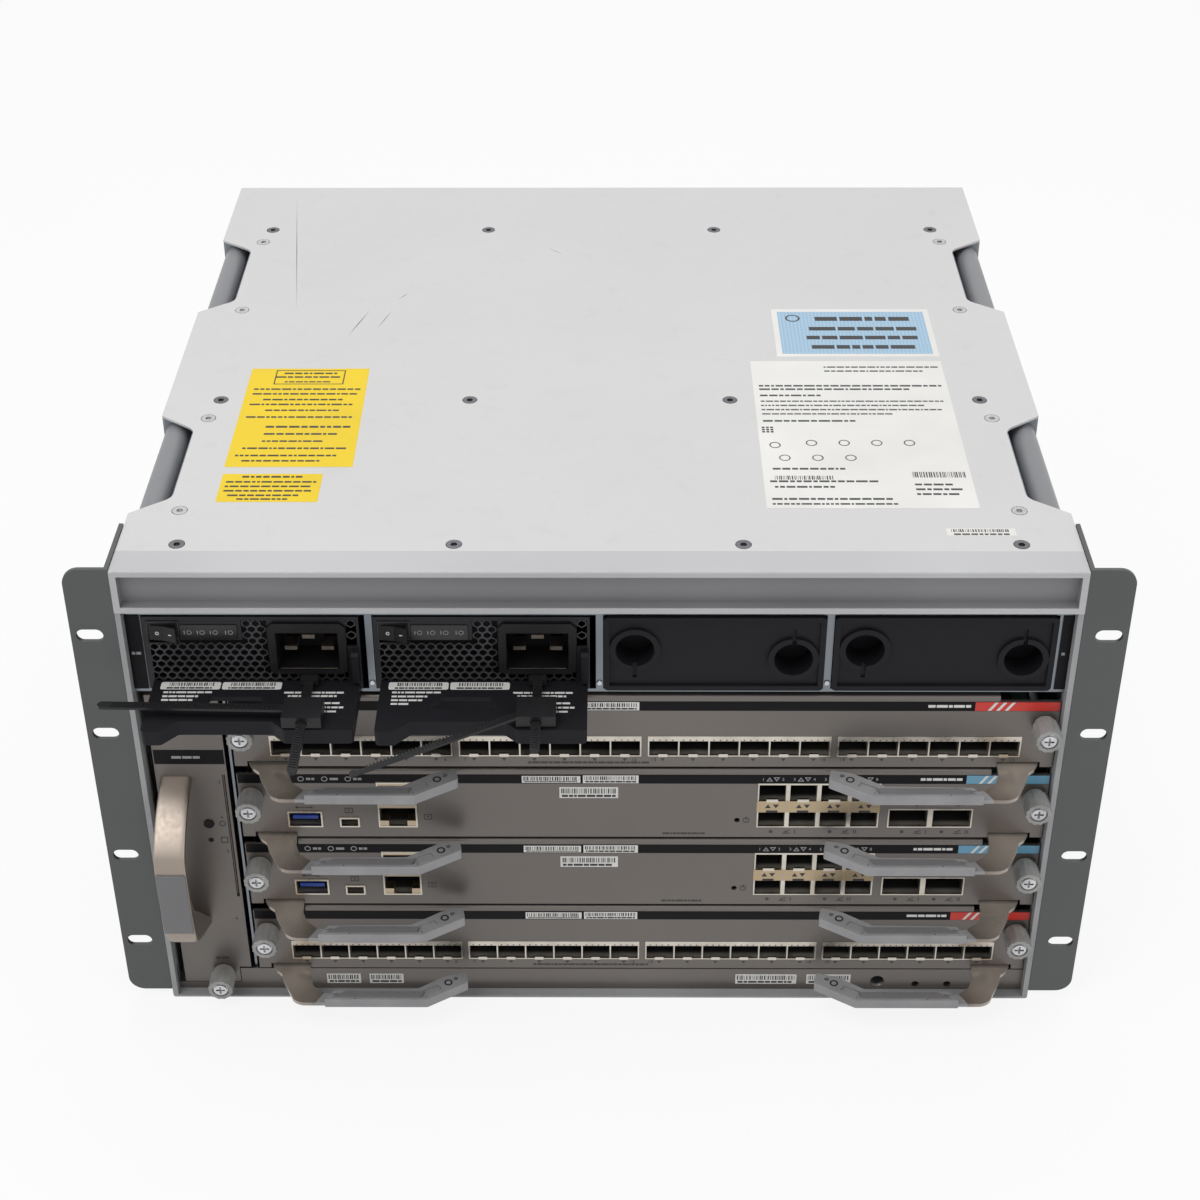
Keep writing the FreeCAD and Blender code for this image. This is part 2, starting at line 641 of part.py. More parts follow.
def chassis_shell():
    """Floor and side walls, wall posts beside the grips, hemmed front edges and a front lip."""
    inner = half - d.sheet
    pieces = [chassis_floor(), side_wall("shell_left", -half), side_wall("shell_right", inner)]
    hem_inner = half - d.hem_thick
    reach = d.notch_outer / 2
    stops = [d.bezel_depth]
    for y in handle_zones():
        stops += [y - reach, y + reach]
    stops.append(d.chassis_depth)
    for side in (-1, 1):
        near, far = (inner, half) if side > 0 else (-half, -inner)
        for start, end in zip(stops[::2], stops[1::2]):
            pieces.append(box(near, start, pan_floor, far, end, cover_under))
        pieces.append(box(near, d.hem_setback, pan_floor, far, d.bezel_depth, bezel_bottom))
        near, far = (hem_inner, inner) if side > 0 else (-inner, -hem_inner)
        pieces.append(box(near, d.hem_setback, d.sheet, far, d.hem_setback + d.hem_depth,
                          bezel_bottom))
    step_x = fan_right - d.fan_foot_step + d.lip_gap
    step_z = d.fan_face_bottom - d.lip_gap
    pieces.append(box(-hem_inner, face_y, d.sheet, step_x, face_y + d.sheet, step_z))
    lip = box(step_x, face_y, d.sheet, hem_inner, face_y + d.sheet, d.lip_height)
    holes = [cone("y", half - d.lip_plug_inset, face_y, d.lip_plug_height, d.lip_plug_radius,
                  d.lip_plug_radius - d.sheet / 2, d.sheet)]
    holes += [rod("y", half - d.lip_screw_inset - d.lip_screw_pitch * n, face_y,
                  d.lip_screw_height, d.lip_screw_radius, d.sheet) for n in (0, 1)]
    pieces.append(cut(lip, *holes))
    return publish(group(pieces), "chassis_shell")


def top_cover():
    """Flat cover with four notches for the carry handles."""
    body = new_body("top_cover")
    sketch = new_sketch(body, "XY", cover_under)
    flat = half - d.notch_inset
    points = [(-half, d.bezel_depth), (half, d.bezel_depth)]
    for y in handle_zones():
        points += [(half, y - d.notch_outer / 2), (flat, y - d.notch_inner / 2),
                   (flat, y + d.notch_inner / 2), (half, y + d.notch_outer / 2)]
    points += [(half, d.chassis_depth), (-half, d.chassis_depth)]
    for y in reversed(handle_zones()):
        points += [(-half, y + d.notch_outer / 2), (-flat, y + d.notch_inner / 2),
                   (-flat, y - d.notch_inner / 2), (-half, y - d.notch_outer / 2)]
    outline(sketch, points)
    for x, y in cover_screw_places() + handle_screw_places():
        circle(sketch, x, y, d.cover_hole_radius)
    pad(body, sketch, d.sheet)
    inner_x = number(flat)
    soften(body, "Fillet", d.notch_round,
           lambda e: runs_along(e, "z") and abs(abs(middle(e).x) - inner_x) < 0.1)
    return publish(body, "top_cover")


def cover_screw_places():
    rows = (d.bezel_depth + d.cover_screw_front, d.chassis_depth / 2 - d.cover_screw_middle,
            d.chassis_depth - d.cover_screw_rear)
    outer = half - d.cover_screw_inset
    columns = (-outer, -d.cover_screw_inner, d.cover_screw_inner, outer)
    return [(x, y) for y in rows for x in columns]


def handle_screw_places():
    reach = d.notch_outer / 2 - d.handle_screw_end
    return [(side * (half - d.handle_screw_inset), y + way * reach)
            for side in (-1, 1) for y in handle_zones() for way in (-1, 1)]


def screws(label, places):
    """Countersunk screws with a hexagonal recess, flush with the cover."""
    made = []
    taper = d.screw_head_radius - d.screw_shank_radius
    for x, y in places:
        head = cone("z", x, y, d.chassis_height - taper, d.screw_shank_radius,
                    d.screw_head_radius, taper)
        shank = hexagonal_rod(x, y, d.chassis_height - d.screw_length, d.screw_shank_radius,
                              d.screw_length - taper)
        recess = hexagonal_rod(x, y, cover_under, d.screw_recess_radius, d.sheet)
        made.append(cut(fuse(head, shank), recess))
    return publish(group(made), label)


def front_bezel():
    """Hollow top bezel with a thin frame round a recessed face."""
    body = new_body("front_bezel")
    block = new_sketch(body, "XZ", 0)
    rectangle(block, -half, bezel_bottom, half, d.chassis_height)
    pad(body, block, d.bezel_depth)
    face = new_sketch(body, "XZ", 0)
    rim = d.bezel_lip
    rectangle(face, rim - half, bezel_bottom + rim, half - rim, d.chassis_height - rim)
    pocket(body, face, d.face_setback)
    hollow = new_sketch(body, "XZ", face_back)
    wall = d.face_thick
    rectangle(hollow, wall - half, bezel_bottom + wall, half - wall, d.chassis_height - wall)
    pocket(body, hollow, d.bezel_depth)
    soften(body, "Fillet", d.bezel_round, lambda e: runs_along(e, "x") and middle(e).y < 0.1
           and abs(middle(e).x) < 1 and middle(e).z > number(d.chassis_height) - 0.1)
    return publish(body, "front_bezel")


def rear_panel():
    """Rear wall inside the folded sheet, with exhaust slots behind the power supplies."""
    body = new_body("rear_panel")
    wall = new_sketch(body, "XZ", d.chassis_depth - d.sheet)
    inner = half - d.sheet
    rectangle(wall, -inner, d.sheet, inner, cover_under)
    pad(body, wall, d.sheet)
    slots = new_sketch(body, "XZ", d.chassis_depth - 2 * d.sheet)
    for row in range(3):
        z = d.bay_floor + 8 + 11 * row
        rectangle(slots, bay_left[0] + 8, z, bay_left[0] + 40, z + 5)
        rectangle(slots, bay_left[0] + 52, z, bay_left[0] + 84, z + 5)
    slot = pocket(body, slots, 3 * d.sheet)
    repeat(body, [slot], "X", d.bay_pitch, 4)
    return publish(body, "rear_panel")


def rack_ear(label, side):
    """Angle bracket with four mounting slots; side is 1 for the right ear."""
    body = new_body(label)
    sketch = new_sketch(body, "XY", d.ear_bottom)
    start = half + d.ear_gap
    edge = d.rack_width / 2
    front = d.ear_setback
    corner = [(start, front), (edge, front), (edge, front + d.ear_thick),
              (start + d.ear_thick, front + d.ear_thick), (start + d.ear_thick, front + d.ear_leg),
              (start, front + d.ear_leg)]
    outline(sketch, [(side * x, y) for x, y in (corner if side > 0 else corner[::-1])])
    pad(body, sketch, d.chassis_height + d.ear_rise - d.ear_bottom)
    slots = new_sketch(body, "XZ", 0)
    for units in (0, 9 / 7, 3, 30 / 7):
        slot_hole(slots, side * d.rack_hole_spacing / 2, d.ear_slot_bottom + d.rack_unit * units,
                  d.ear_slot_length, d.ear_slot_width)
    pocket(body, slots, 4 * d.ear_thick)
    outer = number(edge)
    soften(body, "Fillet", d.ear_round,
           lambda e: runs_along(e, "y") and abs(abs(middle(e).x) - outer) < 0.1)
    return publish(body, label)


def carry_bars():
    """Four round bars for lifting the chassis, one at each cover notch."""
    reach = d.notch_outer / 2 - d.sheet - d.pan_clearance
    x = half - d.sheet - d.carry_bar_radius
    z = cover_under - d.carry_bar_drop - d.carry_bar_radius
    return publish(group([rod("y", side * x, y - reach, z, d.carry_bar_radius, 2 * reach)
                          for side in (-1, 1) for y in handle_zones()]), "carry_bars")


def handle_pans():
    """Recess pans behind the carry bars, each folded up round its base, with screw tabs."""
    made = []
    flat = half - d.notch_inset
    reach = d.notch_outer / 2 - d.pan_clearance
    tab_half = d.pan_tab_width / 2
    for side in (-1, 1):
        def plate(x0, y0, z0, x1, y1, z1):
            """A box with X measured outwards on this side."""
            ends = (x0, x1) if side > 0 else (-x1, -x0)
            return box(ends[0], y0, z0, ends[1], y1, z1)

        inner, outer = flat - d.pan_clearance, half - d.sheet - 2 * d.clearance
        for y in handle_zones():
            wall = inner + d.sheet
            top = pan_floor + d.sheet
            made.append(plate(inner, y - reach, pan_floor, outer, y + reach, top))
            made.append(plate(inner, y - reach, top, wall, y + reach, cover_under))
            for way in (-1, 1):
                ends = sorted((y + way * reach, y + way * (reach - d.sheet)), key=number)
                made.append(plate(wall, ends[0], top, outer, ends[1], cover_under))
                at = y + way * (reach - tab_half)
                tab = plate(flat - d.pan_tab_reach, at - tab_half, cover_under - d.sheet,
                            inner, at + tab_half, cover_under)
                hole = rod("z", side * (half - d.handle_screw_inset),
                           y + way * (d.notch_outer / 2 - d.handle_screw_end),
                           cover_under - d.sheet, d.cover_hole_radius, d.sheet)
                made.append(cut(tab, hole))
    return publish(group(made), "handle_pans")


def power_bays():
    """Shelf, posts and ceiling that make four power bays."""
    inner = half - d.sheet - d.clearance
    hem_room = half - d.hem_thick - d.clearance
    shelf = d.bay_floor - d.shelf_thick
    top = d.bay_floor + d.bay_height
    front = face_y + d.hem_setback
    rear = front + d.bay_length
    pieces = [box(-hem_room, front, shelf, hem_room, rear, d.bay_floor),
              box(-hem_room, front, top, hem_room, rear, top + d.sheet),
              box(hem_room, face_y + d.hem_depth, shelf, inner, rear, d.bay_floor),
              box(-inner, face_y + d.hem_depth, shelf, -hem_room, rear, d.bay_floor)]
    starts = [-hem_room] + [left + d.bay_width for left in bay_left]
    for start, end in zip(starts, bay_left + [hem_room]):
        pieces.append(box(start, front, d.bay_floor, end, rear, top))
    return publish(group(pieces), "power_bays")


def slot_z(slot):
    """Underside of a module; slot 1 is at the top."""
    return d.slot_floor + d.slot_pitch * (4 - slot)


def guide_rails(x0, x1):
    """Rail pairs above and below each board edge."""
    gap = d.guide_clearance
    rails = []
    for slot in range(1, 5):
        board = slot_z(slot) + d.board_height
        for low in (board - gap - d.guide_thick, board + d.board_thick + gap):
            rails.append(box(x0, guide_start, low, x1, guide_start + guide_length,
                             low + d.guide_thick))
    return rails


partition_x = face_left - d.partition_gap
guide_start = face_y + d.guide_start
guide_length = d.board_length - d.guide_short


def air_wall(name, x, y, length):
    """Upright sheet beside the modules, with rows of air windows."""
    wall = new_body(name)
    sheet_face = new_sketch(wall, "XZ", y)
    rectangle(sheet_face, x, d.sheet, x + d.sheet, d.bay_floor - d.shelf_thick)
    pad(wall, sheet_face, length)
    windows = new_sketch(wall, "YZ", x)
    for slot in range(1, 5):
        rectangle(windows, d.window_start, slot_z(slot) + d.window_low,
                  d.window_start + d.window_length, slot_z(slot) + d.window_high)
    window = pocket(wall, windows, d.sheet)
    repeat(wall, [window], "Y", d.window_span, 3)
    return wall


def fan_partition():
    """Wall between the fan tray and the modules, with board guides and the tray's shelf."""
    wall = air_wall("partition_wall", partition_x, face_back + d.partition_setback,
                    d.board_length)
    top = d.slot_floor + d.fan_shelf_rise - d.slide_clearance
    shelf = box(d.hem_thick + d.clearance - half, guide_start, top - d.sheet, partition_x,
                guide_start + guide_length, top)
    rails = guide_rails(partition_x + d.sheet, face_left + d.guide_reach)
    return publish(group([wall, shelf] + rails), "fan_partition")


def right_guides():
    """Board guides on the right side wall."""
    right = half - d.sheet
    wall = air_wall("guide_wall", right - d.sheet, guide_start, guide_length)
    rails = guide_rails(face_right - d.guide_reach, right - d.sheet)
    return publish(group([wall] + rails), "right_guides")


backplane_y = face_back + d.board_length + d.backplane_gap


def backplane():
    """Circuit board across the rear of the card cage, with a connector for each module."""
    pieces = [box(partition_x, backplane_y, d.sheet, half - d.sheet,
                  backplane_y + d.backplane_thick, d.bay_floor - d.shelf_thick)]
    for slot in range(1, 5):
        low = slot_z(slot) + d.bracket_bottom
        pieces.append(box(face_left + d.connector_inset, backplane_y - d.backplane_connector, low,
                          face_right - d.connector_inset, backplane_y,
                          low + d.backplane_connector_height))
    return publish(group(pieces), "backplane")


# ---- plug-in modules ------------------------------------------------------------------

pivot_y = face_back + d.pivot_setback
board_top = d.board_height + d.board_thick


def port_groups():
    """Left end of each group of six small ports on a line card."""
    return [face_left + d.port_group_inset + d.port_group_pitch * group for group in range(4)]


def faceplate(slot, supervisor):
    """Painted faceplate with windows for its cages, lever notches and a folded top flange."""
    label = f"slot_{slot}_faceplate"
    body = new_body(label)
    plate = new_sketch(body, "XZ", face_y)
    notch = d.notch_height
    bend = d.flange_thick
    shoulder = face_height - d.flange_height
    under = face_height - bend
    left_notch = face_left + d.notch_end
    right_notch = face_right - d.notch_end
    flange_left = face_left + d.flange_inset_left
    flange_right = face_right - d.flange_inset_right
    outline(plate, [(face_left, 0), (left_notch, 0), (left_notch, notch),
                    (left_notch + d.lever_notch, notch), (left_notch + d.lever_notch, 0),
                    (right_notch - d.lever_notch, 0), (right_notch - d.lever_notch, notch),
                    (right_notch, notch), (right_notch, 0), (face_right, 0),
                    (face_right, shoulder), (flange_right, shoulder), (flange_right, under),
                    (flange_left, under), (flange_left, shoulder), (face_left, shoulder)])
    for x in (knob_left, knob_right):
        circle(plate, x, d.knob_height, d.screw_radius + d.pivot_clearance)
    pad(body, plate, d.face_thick)
    flange = new_sketch(body, "YZ", flange_left)
    top = face_height
    outline(flange, [(face_y, shoulder), (face_back, shoulder), (face_back, top - bend),
                     (face_y + d.flange_reach, top - bend), (face_y + d.flange_reach, top),
                     (face_y + bend, top, face_y + bend, top - bend, 1), (face_y, top - bend)])
    pad(body, flange, flange_right - flange_left)
    windows = new_sketch(body, "XZ", face_y)
    gap = d.cage_gap
    for columns, rows, depth in (supervisor_cages() if supervisor else line_card_cages()):
        rectangle(windows, columns[0][0] - gap, rows[0][0] - gap, columns[-1][1] + gap, rows[-1][1] + gap)
    if supervisor:
        circle(windows, face_right - d.stack_inset - d.reset_inset, d.reset_height,
               d.reset_radius)
    pocket(body, windows, 2 * d.face_thick)
    return publish(body, label, z=slot_z(slot))


def walls(start, cavities, wall):
    """Wall intervals round cavities: each cavity is its width and the wall after it."""
    edges = [(start - wall, start)]
    for width, after in cavities:
        edges.append((edges[-1][1] + width, edges[-1][1] + width + after))
    return edges


def line_card_cages():
    """Column walls, row walls and depth of each cage of six small ports."""
    wall = d.cage_wall
    rows = walls(board_top + wall, [(d.port_height, d.cage_lip)], wall)
    return [(walls(left + wall, [(d.port_width, wall)] * 6, wall), rows, d.port_depth)
            for left in port_groups()]


def supervisor_cages():
    """The same for the double ports, wide ports, network jacks and two service sockets."""
    wall = d.cage_wall
    floor = board_top + wall
    post = d.stack_pitch - d.stack_width
    stack = face_right - d.stack_inset
    wide = face_right - d.wide_inset
    jack = face_left + d.jack_inset
    service = face_left + d.service_inset
    console = face_left + d.console_inset
    return [
        (walls(stack, [(d.stack_width, post)] * 3 + [(d.stack_width, wall)], wall),
         walls(floor, [(d.stack_low, d.stack_between), (d.stack_high, d.stack_roof)], wall),
         d.port_depth),
        (walls(wide, [(d.wide_width, d.wide_post), (d.wide_width, wall)], wall),
         walls(floor, [(d.wide_height, wall)], wall), d.port_depth),
        (walls(jack, [(d.jack_width, wall)], wall),
         walls(floor, [(d.jack_height, d.jack_between), (d.jack_height, wall)], wall), d.jack_depth),
        (walls(service, [(d.service_width, wall)], wall),
         walls(floor, [(d.service_height, wall)], wall), d.service_depth),
        (walls(console, [(d.console_width, wall)], wall),
         walls(floor, [(d.console_height, wall)], wall), d.console_depth)]


def cage(columns, rows, depth):
    """Sheet walls round a grid of cavities that are open at the front."""
    front = face_y - d.cage_stand
    rear = face_back + depth
    pieces = [box(columns[0][0], front, low, columns[-1][1], rear, high) for low, high in rows]
    for below, above in zip(rows, rows[1:]):
        for low, high in columns:
            pieces.append(box(low, front, below[1], high, rear, above[0]))
    pieces.append(box(columns[0][0], rear, rows[0][0], columns[-1][1], rear + d.cage_wall, rows[-1][1]))
    return pieces


def module_board(slot, supervisor):
    """Circuit board with port cages, lever brackets with their pivot pins and a rear connector."""
    rear = face_back + d.board_length
    connector_left = face_left + d.connector_inset
    connector_right = face_right - d.connector_inset
    pieces = [box(face_left + d.face_side_gap, face_back, d.board_height,
                  face_right - d.face_side_gap, rear, board_top),
              box(connector_left, rear - d.connector_length, board_top, connector_right, rear,
                  board_top + d.connector_height)]
    for x in (face_left + d.lever_pivot_inset, face_right - d.lever_pivot_inset):
        side = d.bracket_width / 2
        pieces.append(box(x - side, face_back, d.bracket_bottom, x + side,
                          face_back + d.bracket_length, d.board_height))
        pieces.append(rod("z", x, pivot_y, -d.pivot_drop, d.pivot_radius,
                          d.bracket_bottom + d.pivot_drop))
    for columns, rows, depth in (supervisor_cages() if supervisor else line_card_cages()):
        pieces += cage(columns, rows, depth)
    if supervisor:
        left = face_left + d.service_inset + d.tongue_margin
        low = board_top + d.cage_wall + d.tongue_rise
        pieces.append(box(left, face_y + d.face_thick, low,
                          left + d.service_width - 2 * d.tongue_margin,
                          face_back + d.service_depth, low + d.tongue_thick))
    return publish(group(pieces), f"slot_{slot}_board", z=slot_z(slot))


def lever(slot, side):
    """Ejector lever: a sheet arm on the pivot pin with a moulded grip; side is 1 at the right."""
    label = f"slot_{slot}_lever_" + ("right" if side > 0 else "left")
    body = new_body(label)
    pivot_x = face_right - d.lever_pivot_inset if side > 0 else face_left + d.lever_pivot_inset
    mirror = -side
    hub = Size(5.0, "5.0")

    def at(x, y):
        return pivot_x + mirror * x, pivot_y + y

    def shape(points):
        placed = []
        for point in points:
            if len(point) == 2:
                placed.append(at(*point))
            else:
                placed.append(at(*point[:2]) + at(*point[2:4]) + (point[4] * mirror,))
        return placed

    def draw(sketch, points):
        """Draw the outline, reversed at the right so that it keeps its direction."""
        placed = shape(points)
        if mirror < 0:
            arcs = {}
            flipped = [p[:2] for p in placed][::-1]
            for index, p in enumerate(placed):
                if len(p) > 2:
                    arcs[(len(placed) - 2 - index) % len(placed)] = (p[2], p[3], -p[4])
            placed = [p + arcs[i] if i in arcs else p for i, p in enumerate(flipped)]
        outline(sketch, placed)

    arm = new_sketch(body, "XY", -d.lever_drop)
    draw(arm, [(hub, 0, 0, 0, 1), (-hub, 0), (-11.2, -3.2), (-8.6, -8.0), (-5.6, -10.6), (-4.2, -15.0),
               (2.0, -27.5, 9.0, -22.0, 1), (9.0, -30.6), (32, -30.6), (30, -25.0), (17.5, -24.0),
               (11.5, -19.0), (8.8, -12.0), (8.2, -2.5)])
    circle(arm, *at(0, 0), d.pivot_radius + d.pivot_clearance)
    pad(body, arm, d.lever_thick)
    grip = new_sketch(body, "XY", -1.0)
    tip = d.lever_reach
    draw(grip, [(18.5, -30.8), (70, -30.8), (tip, -18.6), (tip - 1.5, -11.8), (tip - 12, -14.6),
                (64, -23.8), (23, -24.6)])
    pad(body, grip, d.grip_height)
    soften(body, "Fillet", 1.4, lambda e: runs_along(e, "z") and e.Length > number(d.grip_height) - 0.1
           and abs(middle(e).x - number(pivot_x)) > 66)
    eye = new_sketch(body, "XY", -2)
    circle(eye, *at(tip - 6.5, -16.0), 1.2)
    pocket(body, eye, 2 * d.grip_height)
    channel = new_sketch(body, "XY", d.grip_height - 1.9)
    draw(channel, [(26, -29.2), (68, -29.2), (77, -23.4), (75, -20.6), (65, -26.0), (27, -26.6)])
    pocket(body, channel, 3)
    return publish(body, label, z=slot_z(slot))


def thumbscrew(label, x, z):
    """Captive thumbscrew: fluted cap round a cross-recess screw head, collar and shank."""
    body = new_body(label)
    cap_front = face_y - d.knob_gap - d.knob_length
    cap = new_sketch(body, "XZ", cap_front)
    flutes = 12
    points = []
    for step in range(2 * flutes):
        angle = math.pi * step / flutes
        radius = d.knob_radius * (1 if step % 2 else 0.93)
        points.append((x + radius * math.cos(angle), z + radius * math.sin(angle)))
    outline(cap, points)
    pad(body, cap, d.knob_length - d.knob_collar)
    collar = new_sketch(body, "XZ", cap_front + d.knob_length - d.knob_collar)
    circle(collar, x, z, d.knob_radius * 0.84)
    pad(body, collar, d.knob_collar)
    shank = new_sketch(body, "XZ", cap_front + d.knob_length)
    circle(shank, x, z, d.screw_radius)
    pad(body, shank, d.knob_shank)
    groove = new_sketch(body, "XZ", cap_front)
    circle(groove, x, z, d.knob_head_radius + d.knob_groove)
    circle(groove, x, z, d.knob_head_radius)
    pocket(body, groove, d.knob_groove)
    recess = new_sketch(body, "XZ", cap_front)
    long, wide = d.knob_head_radius * 0.7, d.knob_head_radius * 0.15
    outline(recess, [(x + a, z + b) for a, b in (
        (-wide, -long), (wide, -long), (wide, -wide), (long, -wide), (long, wide), (wide, wide),
        (wide, long), (-wide, long), (-wide, wide), (-long, wide), (-long, -wide), (-wide, -wide))])
    pocket(body, recess, 2 * d.knob_groove)
    return publish(body, label)


# ---- fan tray -------------------------------------------------------------------------

fan_top = d.bay_floor - d.shelf_thick - d.fan_top_gap
fan_frame_x = fan_left + d.fan_side_gap
fan_frame_width = d.fan_face_width - 2 * d.fan_side_gap
fan_middle_z = (d.slot_floor + fan_top) / 2
fan_pitch = 2 * (d.fan_radius + d.fan_gap) + d.fan_post
fan_knob_place = (fan_left + d.fan_knob_inset, d.fan_face_bottom + d.fan_knob_rise)


def fan_middle_y(fan):
    return face_back + 14 + d.fan_radius + fan_pitch * (fan - 1)


def fan_tray():
    """Faceplate and sheet frame with three fan openings, their struts and motors."""
    face = new_body("fan_face")
    front = new_sketch(face, "XZ", face_y)
    outline(front, [(fan_left, d.fan_face_bottom), (fan_left, fan_top), (fan_right, fan_top),
                    (fan_right, d.slot_floor + d.lip_gap),
                    (fan_right - d.fan_foot_step, d.slot_floor + d.lip_gap),
                    (fan_right - d.fan_foot_step, d.fan_face_bottom)])
    slot_right = fan_right - d.fan_slot_inset
    rectangle(front, slot_right - d.fan_slot_width, d.fan_slot_bottom, slot_right, d.fan_slot_top)
    circle(front, *fan_knob_place, d.screw_radius + d.pivot_clearance)
    pad(face, front, d.face_thick)
    low, high = d.slot_floor + d.fan_shelf_rise, fan_top - 2 * d.fan_side_gap
    length = fan_pitch * 3 + d.fan_tail
    middle_y = fan_middle_y(1)
    reach = d.fan_radius + d.fan_gap + d.fan_post / 2
    strut = d.fan_strut / 2
    pieces = [face]
    for left, strutted in ((fan_frame_x, True), (fan_frame_x + fan_frame_width - d.sheet, False)):
        wall = new_body("fan_wall")
        sheet_face = new_sketch(wall, "YZ", left)
        rectangle(sheet_face, face_back, low, face_back + length, high)
        pad(wall, sheet_face, d.sheet)
        openings = new_sketch(wall, "YZ", left)
        circle(openings, middle_y, fan_middle_z, d.fan_radius + d.fan_gap)
        features = [pocket(wall, openings, d.sheet)]
        if strutted:
            struts = new_sketch(wall, "YZ", left)
            rectangle(struts, middle_y - strut, fan_middle_z - reach,
                      middle_y + strut, fan_middle_z + reach)
            features.append(pad(wall, struts, d.sheet))
        repeat(wall, features, "Y", fan_pitch, 3)
        pieces.append(wall)
    inner_left, inner_right = fan_frame_x + d.sheet, fan_frame_x + fan_frame_width - d.sheet
    for z in (low, high - d.sheet):
        pieces.append(box(inner_left, face_back, z, inner_right, face_back + length, z + d.sheet))
    for fan in (1, 2, 3):
        y = fan_middle_y(fan)
        motor = rod("x", inner_left, y, fan_middle_z, d.fan_radius * 0.35, d.fan_motor_depth)
        shaft = rod("x", inner_left, y, fan_middle_z, d.fan_shaft_radius, d.fan_rotor_depth + 3)
        pieces.append(fuse(motor, shaft))
    return publish(group(pieces), "fan_tray")


def fan_rotor(fan):
    """Hub with seven pitched blades, turning on its motor shaft."""
    label = f"fan_rotor_{fan}"
    body = new_body(label)
    hub = new_sketch(body, "YZ", 0)
    circle(hub, 0, 0, d.fan_radius * 0.36)
    circle(hub, 0, 0, d.fan_shaft_radius + d.pivot_clearance)
    pad(body, hub, d.fan_rotor_depth)
    root = d.fan_radius * 0.30
    section = new_sketch(body, "XZ", root)
    outline(section, [(2, -13), (3.6, -13), (18, 12), (16.4, 12)])
    blade = pad(body, section, d.fan_radius - root - 3)
    spread = body.newObject("PartDesign::PolarPattern", "Blades")
    spread.Originals = [blade]
    spread.Axis = (origin_feature(body, "X_Axis"), [""])
    spread.Angle = 360
    spread.Occurrences = 7
    body.Tip = spread
    return publish(body, label, fan_frame_x + 4, fan_middle_y(fan), fan_middle_z)


def fan_handle():
    """Bowed pull handle: a thin strip from its upper foot, a flat front and a deep lower leg."""
    body = new_body("fan_tray_handle")
    side = new_sketch(body, "YZ", fan_left + 2.4)
    top, kink, chin = Size(143, "143"), Size(118, "118"), Size(71, "71")
    foot = Size(46, "46")
    front = Size(-31.6, "(0 - 31.6)")
    outline(side, [(face_y, top), (-12, top - 6.2), (front + 5, top - 17.6), (front, kink),
                   (front + 2, chin), (-23, chin - 11.6), (face_y, foot), (face_y, foot + 5.5),
                   (-10.3, chin - 0.8), (front + 5.4, chin + 15.7), (front + 3.4, kink - 1),
                   (front + 7, top - 20.6), (-11.2, top - 9.6), (face_y, top - 3.8)])
    pad(body, side, d.fan_handle_width)
    soften(body, "Fillet", 1.1, lambda e: not runs_along(e, "x") and e.Length > 12)
    return publish(body, "fan_tray_handle")


# ---- power bays -----------------------------------------------------------------------

inlet_base = d.inlet_rise
inlet_left = d.inlet_inset
rail_x = inlet_left + d.inlet_width / 2
handle_top = d.handle_rise


def publish_supply(thing, label, n):
    """Place a power supply's sub-part in its bay."""
    return publish(thing, label, bay_left[n - 1] + d.case_inset, 0, supply_base)


def hexagon(sketch, x, z, radius):
    outline(sketch, [(x + radius * math.cos(math.pi * k / 3), z + radius * math.sin(math.pi * k / 3))
                     for k in range(6)])


def supply_case(n):
    """Sheet case with a perforated front, open to the rear exhaust."""
    label = f"supply_{n}_case"
    body = new_body(label)
    block = new_sketch(body, "XZ", face_y)
    rectangle(block, 0, 0, d.supply_width, d.supply_height)
    pad(body, block, d.supply_length)
    hollow = new_sketch(body, "XZ", face_y + d.sheet)
    rectangle(hollow, d.sheet, d.sheet, d.supply_width - d.sheet, d.supply_height - d.sheet)
    pocket(body, hollow, d.supply_length)
    holes = new_sketch(body, "XZ", face_y)
    side, under, over = (d.inlet_side - d.inlet_fit, d.inlet_under - d.inlet_fit,
                         d.inlet_over - d.inlet_fit)
    rectangle(holes, inlet_left + side, inlet_base + under, inlet_left + d.inlet_width - side,
              inlet_base + d.inlet_height - over)
    wide = d.rocker_width / 2 + d.rocker_room
    high = d.rocker_height / 2 + d.rocker_fit
    rectangle(holes, d.rocker_inset - wide, d.rocker_rise - high,
              d.rocker_inset + wide, d.rocker_rise + high)
    slot_right = d.supply_width - d.sheet - d.clearance
    rectangle(holes, slot_right - d.latch_slot_width, d.latch_slot_bottom, slot_right,
              d.latch_slot_bottom + d.latch_slot_height)
    pocket(body, holes, d.sheet)
    mesh = new_sketch(body, "XZ", face_y)
    for row in (0, 2, 4):
        z = d.mesh_bottom + d.mesh_row * row
        hexagon(mesh, d.mesh_left, z, d.mesh_radius)
        hexagon(mesh, d.mesh_left + d.mesh_pitch / 2, z + d.mesh_row, d.mesh_radius)
    field = pocket(body, mesh, d.sheet)
    repeat(body, [field], "X", d.mesh_pitch, 6)
    row = new_sketch(body, "XZ", face_y)
    hexagon(row, d.mesh_left + 2 * d.mesh_pitch, d.rocker_rise, d.mesh_radius)
    top_row = pocket(body, row, d.sheet)
    repeat(body, [top_row], "X", d.mesh_pitch, 4)
    return publish_supply(body, label, n)


